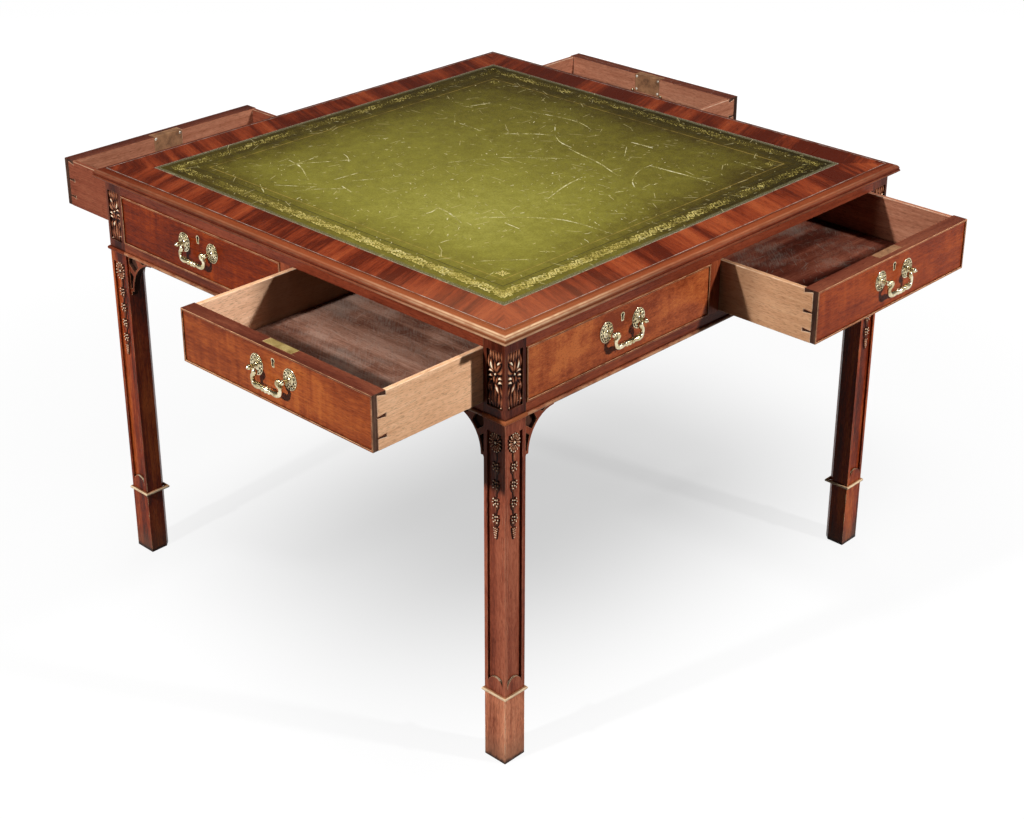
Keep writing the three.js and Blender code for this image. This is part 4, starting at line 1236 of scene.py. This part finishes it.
def carvedFinish():
    finish = Finish("carvedMahogany", Specular_IOR_Level=0.12)
    x, y, z = finish.place()
    relief = finish.attribute("relief")
    patch = finish.noise(finish.join(x * 160, y * 160, z * 120), 3.0, 0.65)
    broad = finish.noise(finish.join(x * 28, y * 28, z * 18), 2.0, 0.5)
    # colour by height: painted highlight on the high parts and painted shade in the low ones, with wear on the tops
    tone = relief + (patch - 0.5) * 0.28 + (broad - 0.5) * 0.18
    colour = finish.ramp(tone, [
        (0.12, (0.012, 0.004, 0.003)), (0.38, (0.06, 0.015, 0.007)), (0.56, (0.22, 0.060, 0.024)),
        (0.71, (0.46, 0.20, 0.10)), (0.84, (0.94, 0.79, 0.57)),
    ])
    # grime and painted shade in the crevices
    grime = finish.fade(finish.dirt(0.003), 0.2, 0.8)
    colour = finish.mix(grime * 0.85, colour, (0.014, 0.006, 0.004))
    finish.surface(
        Base_Color=colour, Roughness=0.42 - relief * 0.12 + grime * 0.3, Normal=finish.bump(patch, 0.0003, 0.4),
    )
    return finish.material


def makeCarvings(plan, leg):
    cell = plan["cell"] * 1
    leaves = [blade(*leaf) for leaf in friezePlan["leaves"]] + [ball(*spot) for spot in friezePlan["balls"]]
    outer, ground = leg["panelOuter"], leg["ground"]
    work = bmesh.new()
    for strokes, tall, low, keepGround, lift in (
        (leaves, plan["friezeTall"], leg["panelLow"], True, plan["friezeLift"]),
        (pendantStrokes(pendantPlan), plan["pendantTall"], plan["pendantLow"], False, plan["pendantLift"]),
    ):
        grid = heights(strokes, plan, tall, cell)
        carveInto(work, grid, lambda u, v, h: (outer - u * mm, -ground - h * mm, low + v * mm), keepGround, lift)
        carveInto(work, grid, lambda u, v, h: (ground + h * mm, -outer + u * mm, low + v * mm), keepGround, lift)
    bmesh.ops.holes_fill(work, edges=[e for e in work.edges if e.is_boundary], sides=0)
    bmesh.ops.delete(work, geom=[v for v in work.verts if not v.link_faces], context="VERTS")
    mesh = meshOf(outward(work), "carving", 70)
    material = carvedFinish()
    for quarter, corner in enumerate(corners):
        newPiece(f"carving_{corner}", moved(mesh, quarterTurn(quarter)), "table", [material])


makeCarvings(carvePlan, legPlan)
print("carving done")


# fronts and drawers

drawerPlan = {
    "frontRound": 0.0009, "half": 0.21735, "endSeen": 0.0015, "topEdge": 0.7332, "beadProud": 0.0003, "square": 0.9,
    "boxRound": 0.0014, "bottomLow": 0.6475, "bottomHigh": 0.6548, "inner": 0.2085, "long": 0.455, "backThick": 0.0095,
}
frontWoods = {                                         # show side, top edge, inside
    "south": (frontX, edgeX, tanX), "east": (redFrontY, edgeY, redY), "north": (frontX, edgeX, roseX),
    "west": (redFrontY, edgeY, roseY),
}
boxWoods = {                                           # sides, back, bottom
    "south": (tanY, tanX, greyBottomX), "east": (hiddenTanX, tanY, redBottomY), "north": (roseY, roseX, redBottomX),
    "west": (redX, redY, redBottomY),
}


def isBead(spot, face):                                # in the narrow frame that stands proud of a front
    return -spot.y > face + drawerPlan["beadProud"]


def makeFronts(plan):
    for side, quarter in sides.items():
        wood, edge, lining = frontWoods[side]
        blind, bead = (paleFrontY, beadY) if quarter % 2 else (darkFrontX, beadX)
        work = softCopy(f"blind_front_{side}", plan["frontRound"])
        paintFaces(work, quarter, lambda way, spot: isBead(spot, friezeHalf))
        newPiece(f"blindFront_{side}", work, "table", [blind, bead], [f"blind_front_{side}"])

        def indexOf(way, spot):
            if abs(way.x) > plan["square"] and abs(spot.x - frontMiddle) > plan["half"] - plan["endSeen"]:
                return 1
            if way.z > plan["square"] and spot.z > plan["topEdge"]:
                return 2
            if way.y > plan["square"]:
                return 3
            return 4 * isBead(spot, friezeHalf + pulledOut[side])

        work = softCopy(f"drawer_face_{side}", plan["frontRound"], flatten=False)
        work.normal_update()
        paintFaces(work, quarter, indexOf)
        woods = [wood, endWood, edge, lining, bead]
        newPiece(f"drawerFront_{side}", work, f"drawer_{side}", woods, [f"drawer_face_{side}"])


def makeBoxes(plan):
    for side, quarter in sides.items():
        back = friezeHalf + pulledOut[side] - plan["long"] + plan["backThick"]

        def indexOf(way, spot):
            inside = abs(spot.x - frontMiddle) < plan["inner"]
            if plan["bottomLow"] < spot.z < plan["bottomHigh"] and inside:
                return 2
            if -spot.y < back:
                return 1
            if side == "east" and spot.x > frontMiddle:
                return 3
            # the inside of the south drawer's sides: the paler copy with painted light and painted shade
            return 4 * (side == "south" and inside and spot.z > plan["bottomHigh"])

        work = softCopy(f"drawer_box_{side}", plan["boxRound"])
        paintFaces(work, quarter, indexOf)
        woods = [*boxWoods[side], roseX, hiddenTanY]
        newPiece(f"drawerBox_{side}", work, f"drawer_{side}", woods, [f"drawer_box_{side}"])


makeFronts(drawerPlan)
makeBoxes(drawerPlan)
print("fronts and drawers done")


# brasses

brassLooks = {                                         # dark, middle and light, roughness, metal
    "handles": ((0.11, 0.07, 0.028), (0.56, 0.455, 0.25), (0.88, 0.80, 0.58), 0.25, 1.0),
    "locks": ((0.08, 0.038, 0.02), (0.24, 0.11, 0.048), (0.37, 0.185, 0.085), 0.6, 0.15),
    "selvedge": ((0.16, 0.10, 0.03), (0.30, 0.20, 0.06), (0.46, 0.34, 0.13), 0.5, 0.2),
    "screws": ((0.34, 0.26, 0.18), (0.75, 0.68, 0.56), (0.90, 0.86, 0.76), 0.4, 0.3),
}


def brassFinish(name, look):
    dark, mid, light, rough, metal = look
    finish = Finish(name, Metallic=metal)
    x, y, z = finish.place()
    cloud = finish.noise(finish.join(x * 60, y * 60, z * 60), 4.0, 0.6)
    fine = finish.noise(finish.join(x * 700, y * 700, z * 700), 2.0, 0.6)
    colour = finish.ramp(cloud * 0.7 + fine * 0.3, [(0.32, dark), (0.45, mid), (0.62, light)])
    # grime and painted shade in the hollows
    grime = finish.fade(finish.dirt(0.005), 0.1, 0.58)
    colour = finish.mix(grime * 0.95, colour, (0.02, 0.012, 0.005))
    finish.surface(
        Base_Color=colour, Roughness=rough + (cloud - 0.5) * 0.2 + grime * 0.3,
        Normal=finish.bump(cloud + fine * 0.4, 0.00025, 0.4),
    )
    return finish.material


def roseShade():                                       # painted shade behind the piercings and in the keyholes
    finish = Finish("roseShade", Roughness=0.9, Specular_IOR_Level=0.05)
    x, y, z = finish.place()
    dirt = finish.noise(finish.join(x * 300, y * 300, z * 300), 2.0)
    finish.surface(Base_Color=finish.ramp(dirt, [(0.4, (0.010, 0.006, 0.004)), (0.6, (0.03, 0.018, 0.010))]))
    return finish.material


handlePlan = {
    "spacing": 0.076, "height": 0.6976, "frontThick": {"blind": 0.020, "drawer": 0.025},
    "roseWide": 0.015, "roseTall": 0.018, "roseThick": 0.0008, "sectors": 48,
    "holes": {3: (3, (1, 2)), 6: (6, (1, 2, 3))},      # band of rings: repeat in sectors, and the open ones of it
    "scallop": 0.018, "scallops": 20, "scallopFrom": 0.94,
    "shade": 0.93, "shadeSteps": 24, "shadeDepths": (-0.0004, -0.0001),
    "roseRings": [
        (1.0, 0.2), (1.0, 1.0), (0.955, 1.35), (0.90, 1.0), (0.76, 1.05), (0.71, 1.35), (0.66, 1.15), (0.52, 1.3),
        (0.46, 1.7), (0.36, 2.3), (0.27, 2.7),
    ],
    "post": [                                          # millimetres; below 0 it is the nut inside
        (0, -3.9), (2.4, -3.9), (3.4, -3.3), (4.1, -2.1), (4.1, -0.35), (2.2, -0.3), (2.2, 1.0), (4.6, 1.6), (4.9, 2.4),
        (4.5, 3.2), (3.6, 3.7), (3.0, 4.3), (2.7, 5.6), (2.55, 7.2), (2.7, 8.8), (3.3, 9.7), (3.2, 10.3), (3.9, 11.2),
        (4.35, 12.6), (4.5, 14.4), (4.2, 16.4), (3.3, 18.0), (2.1, 18.8), (1.7, 19.2), (1.9, 19.7), (1.6, 20.3),
        (0.8, 20.6), (0, 20.7),
    ],
    "head": 14.5, "drop": 24.5, "thick": 10.8,
    "bail": [                                          # shares of half the spacing, of the drop and of the thickness
        (1 + 2.2 / 38, 0, 0.29), (0.86, 0, 0.29), (0.8, 0.01, 0.5), (0.735, 0.06, 0.76), (0.7, 0.18, 0.86),
        (0.74, 0.31, 0.82), (0.815, 0.42, 0.7), (0.845, 0.57, 0.6), (0.83, 0.74, 0.62), (0.775, 0.9, 0.74),
        (0.68, 0.985, 0.86), (0.54, 1, 0.95), (0.38, 1, 0.78), (0.26, 1, 0.7), (0.2, 1, 1.0), (0.14, 1, 0.72),
        (0, 1, 1.06),
    ],
}


def roseMesh(plan):
    work = bmesh.new()
    rings = []
    for share, lift in plan["roseRings"]:
        ring = []
        for t in turnSteps(plan["sectors"]):
            r = share * (1 + (plan["scallop"] * math.cos(plan["scallops"] * t) if share > plan["scallopFrom"] else 0))
            spot = (plan["roseWide"] * r * math.cos(t), -lift * mm, plan["roseTall"] * r * math.sin(t))
            ring.append(work.verts.new(spot))
        rings.append(ring)

    def pierced(band, k):
        repeat, opened = plan["holes"].get(band, (1, ()))
        return k % repeat in opened

    skin(work, rings, pierced)
    outward(work)
    if sum(face.normal.y for face in work.faces) > 0:
        bmesh.ops.reverse_faces(work, faces=work.faces)
    mesh = bpy.data.meshes.new("rose")
    work.to_mesh(mesh)
    work.free()
    host = bpy.data.objects.new("host", mesh)
    bpy.context.collection.objects.link(host)
    wall = host.modifiers.new("wall", "SOLIDIFY")
    wall.thickness, wall.offset = plan["roseThick"], -1
    soft = host.modifiers.new("soft", "SUBSURF")
    soft.levels = soft.render_levels = 1
    return plainMesh(host)


def sweep(line, around):                               # line of (place, radius); a round rod of changing thickness
    work = bmesh.new()
    deep = Vector((0, 1, 0))
    rings = []
    for i, (spot, radius) in enumerate(line):
        along = (line[min(i + 1, len(line) - 1)][0] - line[max(i - 1, 0)][0]).normalized()
        out = along.cross(deep).normalized()
        spokes = [(out * math.cos(t) + deep * math.sin(t)) * radius for t in turnSteps(around)]
        rings.append([work.verts.new(spot + spoke) for spoke in spokes])
    skin(work, rings)
    work.faces.new(rings[0])
    work.faces.new(rings[-1])
    return outward(work)


def bailMesh(plan):
    reach, drop, thick = plan["spacing"] / 2, plan["drop"], plan["thick"]
    run = smoothRun(plan["bail"], 5)
    points = [(Vector((a * reach, 0, -d * drop * mm)), t * thick / 2 * mm) for a, d, t in run]
    points += [(Vector((-p.x, 0, p.z)), r) for p, r in reversed(points[:-1])]
    return meshOf(sweep(points, 16), "bail", 50)


def onFront(kind, side, x, z, out=0.0):                # the place of a fitting on a drawer's or a blind front
    reach = friezeHalf + (pulledOut[side] if kind == "drawer" else 0) + out
    middle = frontMiddle if kind == "drawer" else -frontMiddle
    return quarterTurn(sides[side]) @ Matrix.Translation((middle + x, -reach, z))


def bodyOf(kind, side):
    return f"drawer_{side}" if kind == "drawer" else "table"


def makeHandles(plan, brass, shade):
    rose, bail = roseMesh(plan), bailMesh(plan)
    wide, tall = plan["roseWide"] * plan["shade"], plan["roseTall"] * plan["shade"]
    for kind, thick in plan["frontThick"].items():
        work = lathe([(r * mm, t * mm - thick if t < -0.2 else t * mm) for r, t in plan["post"]], 22)
        work.from_mesh(rose)
        rims = [                                       # a dark disc of painted shade that closes the rose's piercings from behind
            [work.verts.new((wide * math.cos(t), y, tall * math.sin(t))) for t in turnSteps(plan["shadeSteps"])]
            for y in plan["shadeDepths"]
        ]
        dark = [work.faces.new(rims[0]), work.faces.new(rims[1][::-1]), *skin(work, rims[::-1])]
        for face in dark:
            face.material_index = 1
        bmesh.ops.recalc_face_normals(work, faces=dark)
        post = meshOf(work, "post", 50)
        for side in sides:
            for hand, s in (("left", -1), ("right", 1)):
                name = f"{kind}_{side}_{hand}"
                shape = moved(post, onFront(kind, side, s * plan["spacing"] / 2, plan["height"]))
                body = bodyOf(kind, side)
                newPiece(f"handlePost_{name}", shape, body, [brass, shade], [f"rose_{name}"])
            shape, name = moved(bail, onFront(kind, side, 0, plan["height"], plan["head"] * mm)), f"{kind}_{side}"
            newPiece(f"swanBail_{name}", shape, f"handle_{name}", [brass], [f"bail_{name}"])


keyPlan = {
    "top": 0.7341, "drop": 0.0185, "round": 0.0027, "slot": 0.0016, "long": 0.0090, "ring": 0.0016, "proud": 0.0004,
    "deep": 0.003, "sunk": 0.0005, "darkLift": 0.00008,
}


def keyOutline(plan, grow):
    r, w, long = plan["round"] + grow, plan["slot"] + grow, plan["long"] + grow
    low = math.asin(w / r)
    turns = [-math.pi / 2 + low + (2 * math.pi - 2 * low) * k / 20 for k in range(21)]
    foot = [(-w, -long), (-w * 0.5, -long - grow * 0.3), (w * 0.5, -long - grow * 0.3), (w, -long)]
    return [(r * math.cos(t), r * math.sin(t)) for t in turns] + foot


def makeKeyholes(plan, brass, shade):
    work = bmesh.new()
    ring, proud = plan["ring"], plan["proud"]
    steps = [(0.0, -plan["deep"]), (0.0, proud), (ring * 0.5, proud * 1.6), (ring, proud), (ring, -plan["sunk"])]
    rings = [[work.verts.new((x, -reach, z)) for x, z in keyOutline(plan, grow)] for grow, reach in steps]
    skin(work, rings + rings[:1])
    outward(work)
    # a dark sheet of painted shade in the keyhole
    dark = work.faces.new([work.verts.new((x, -plan["darkLift"], z)) for x, z in keyOutline(plan, 0.0)])
    dark.material_index = 1
    dark.normal_update()
    if dark.normal.y > 0:
        dark.normal_flip()
    bmesh.ops.triangulate(work, faces=[dark])
    mesh = meshOf(work, "keyhole", 50)
    for side in sides:
        for kind in ("blind", "drawer"):
            shape = moved(mesh, onFront(kind, side, 0, plan["top"] - plan["drop"]))
            body = bodyOf(kind, side)
            newPiece(f"keyPlate_{kind}_{side}", shape, body, [brass, shade])


lockPlan = {"round": 0.0003, "upward": 0.7, "rubbedSide": "south"}


def makeLocks(plan, brass, bright):
    for side in sides:
        work = softCopy(f"lock_{side}", plan["round"], 1)
        for face in work.faces:                        # the front drawer's selvedge is rubbed bright
            face.material_index = side == plan["rubbedSide"] and face.normal.z > plan["upward"]
        newPiece(f"lockCase_{side}", work, f"drawer_{side}", [brass, bright], [f"lock_{side}"])


screwPlan = {
    "round": 0.0027, "slot": 0.0005, "proud": 0.0006, "sunk": 0.0003, "around": 24, "inX": 0.0285, "high": 0.7292,
    "low": 0.7015, "thick": 0.025,
}


def screwTree():                                       # puts a screw on every point, each turned at random
    tree = newTree("lockScrews", {"Geometry": "Geometry", "Screw": "Object", "Size": "Float", "Steel": "Material"})
    begin, chance, spin = addNodes(tree, "NodeGroupInput", "FunctionNodeRandomValue", "ShaderNodeCombineXYZ")
    chance.data_type = "FLOAT"
    chance.inputs[3].default_value = math.pi
    chance.inputs["Seed"].default_value = 3
    put = strewn(tree, begin, "Screw", "Steel")
    linkAll(
        tree, (begin, "Geometry", put, "Points"), (begin, "Size", put, "Scale"), (chance, 1, spin, 1),
        (spin, 0, put, "Rotation"),
    )
    return tree


def makeScrews(plan, brass):
    r, up, slot = plan["round"], plan["proud"], plan["slot"]
    work = bmesh.new()
    turns = turnSteps(plan["around"], 0.5)
    rings = [
        [work.verts.new((r * share * math.cos(t), lift, r * share * math.sin(t))) for t in turns]
        for share, lift in ((1.0, -plan["sunk"]), (1.0, up * 0.5), (0.8, up), (0.5, up * 1.3))
    ]
    skin(work, rings)
    work.faces.new(rings[-1])
    work.faces.new(rings[0][::-1])
    for z in (slot, -slot):
        everything = [*work.verts, *work.edges, *work.faces]
        bmesh.ops.bisect_plane(work, geom=everything, plane_co=(0, 0, z), plane_no=(0, 0, 1))
    outward(work)
    floor = [f for f in work.faces if abs(f.calc_center_median().z) < slot * 0.9 and f.normal.y > 0.4]
    for item in bmesh.ops.extrude_face_region(work, geom=floor)["geom"]:
        if isinstance(item, bmesh.types.BMVert):
            item.co.y -= up * 1.2
    bmesh.ops.delete(work, geom=floor, context="FACES")
    screw = bpy.data.objects.new("screw", meshOf(outward(work), "screw", 30))
    bpy.context.collection.objects.link(screw)
    tree = screwTree()
    for side, quarter in sides.items():
        inner = -(friezeHalf + pulledOut[side]) + plan["thick"]
        places = [(frontMiddle + s * plan["inX"], inner, z) for s in (-1, 1) for z in (plan["high"], plan["low"])]
        spots = bpy.data.meshes.new("spots")
        spots.from_pydata(places, [], [])
        made = grown(tree, spots, {"Screw": screw, "Size": 1.0, "Steel": brass})
        made.transform(quarterTurn(quarter))
        newPiece(f"lockScrews_{side}", made, f"drawer_{side}", [brass])
    bpy.data.objects.remove(screw)


handleBrass = brassFinish("handleBrass", brassLooks["handles"])
lockBrass = brassFinish("lockBrass", brassLooks["locks"])
roseDark = roseShade()
makeHandles(handlePlan, handleBrass, roseDark)
makeKeyholes(keyPlan, handleBrass, roseDark)
makeLocks(lockPlan, lockBrass, brassFinish("selvedgeBrass", brassLooks["selvedge"]))
makeScrews(screwPlan, brassFinish("screwBrass", brassLooks["screws"]))
print("brasses done")


# floor and background

floorLook = {
    "albedo": 0.085, "nearGlow": 0.905, "farGlow": 0.98, "glowReach": (0.9, 2.4), "reach": 16,
    "under": 0.37, "middle": (-0.05, 0.15), "dip": ((0.05, 0.64), (0.12, 0.90)),
}
worldLight = {"tint": (1.0, 0.99, 0.98), "strength": 0.03, "ceiling": 0.08, "horizon": (0.02, 0.15)}


def makeFloor(look):
    work = bmesh.new()
    r = look["reach"]
    work.faces.new([work.verts.new((x, y, 0)) for x, y in ((-r, -r), (r, -r), (r, r), (-r, r))])
    finish = Finish(
        "paleFloor", Roughness=0.9, Base_Color=(look["albedo"],) * 3, Specular_IOR_Level=0.0, Emission_Strength=1.0,
    )
    path = finish.node("ShaderNodeLightPath").socket.node.outputs
    camera, glossy, through = (Wire(finish, path[f"Is {kind} Ray"]) for kind in ("Camera", "Glossy", "Transmission"))
    x, y = finish.place(2)
    glow = finish.fade((x * x + y * y) ** 0.5, *look["glowReach"], look["nearGlow"], look["farGlow"])
    # a soft shadow painted into the floor's colour under the table
    dipX, dipY = (
        finish.fade(abs(at - middle), near, far, 1.0, 0.0)
        for at, middle, (near, far) in zip((x, y), look["middle"], look["dip"])
    )
    glow = (glow - dipX * dipY * look["under"]) * camera.larger(glossy).larger(through)
    finish.surface(Emission_Color=finish.join(glow, glow, glow))
    floor = bpy.data.objects.new("studioFloor", meshOf(work, "studioFloor"))
    floor.data.materials.append(finish.material)
    bpy.context.collection.objects.link(floor)
    floor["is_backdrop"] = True


def makeWorld(light):                                  # camera, mirror and glass rays see a white backdrop
    world = bpy.data.worlds.new("studioWorld")
    bpy.context.scene.world = world
    world.use_nodes = True
    tree = world.node_tree
    tree.nodes.clear()
    path, seen, seenToo, low, plain, white, blend, end, way, parts, rise = addNodes(
        tree, "ShaderNodeLightPath", *["ShaderNodeMath"] * 3, *["ShaderNodeBackground"] * 2, "ShaderNodeMixShader",
        "ShaderNodeOutputWorld", "ShaderNodeTexCoord", "ShaderNodeSeparateXYZ", "ShaderNodeMapRange",
    )
    for node in (seen, seenToo, low):
        node.operation = "MAXIMUM"
    plain.inputs[0].default_value = (*light["tint"], 1)
    plain.inputs[1].default_value = light["strength"]
    white.inputs[0].default_value = (1, 1, 1, 1)
    # mirrors see it white round the horizon, with a dimmer ceiling above
    for socket, value in zip(rise.inputs[1:5], (*light["horizon"], 1.0, light["ceiling"])):
        socket.default_value = value
    linkAll(
        tree, (way, "Generated", parts, 0), (parts, 2, rise, 0), (rise, 0, low, 0), (path, "Is Camera Ray", low, 1),
        (low, 0, white, 1), (path, "Is Camera Ray", seen, 0), (path, "Is Glossy Ray", seen, 1), (seen, 0, seenToo, 0),
        (path, "Is Transmission Ray", seenToo, 1), (seenToo, 0, blend, 0), (plain, 0, blend, 1), (white, 0, blend, 2),
        (blend, 0, end, 0),
    )


makeFloor(floorLook)
makeWorld(worldLight)
bpy.context.scene.view_settings.view_transform = "Standard"

[[list(map(float, corner)) for corner in box] for box in (cadBox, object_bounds())]
print("scene ready")
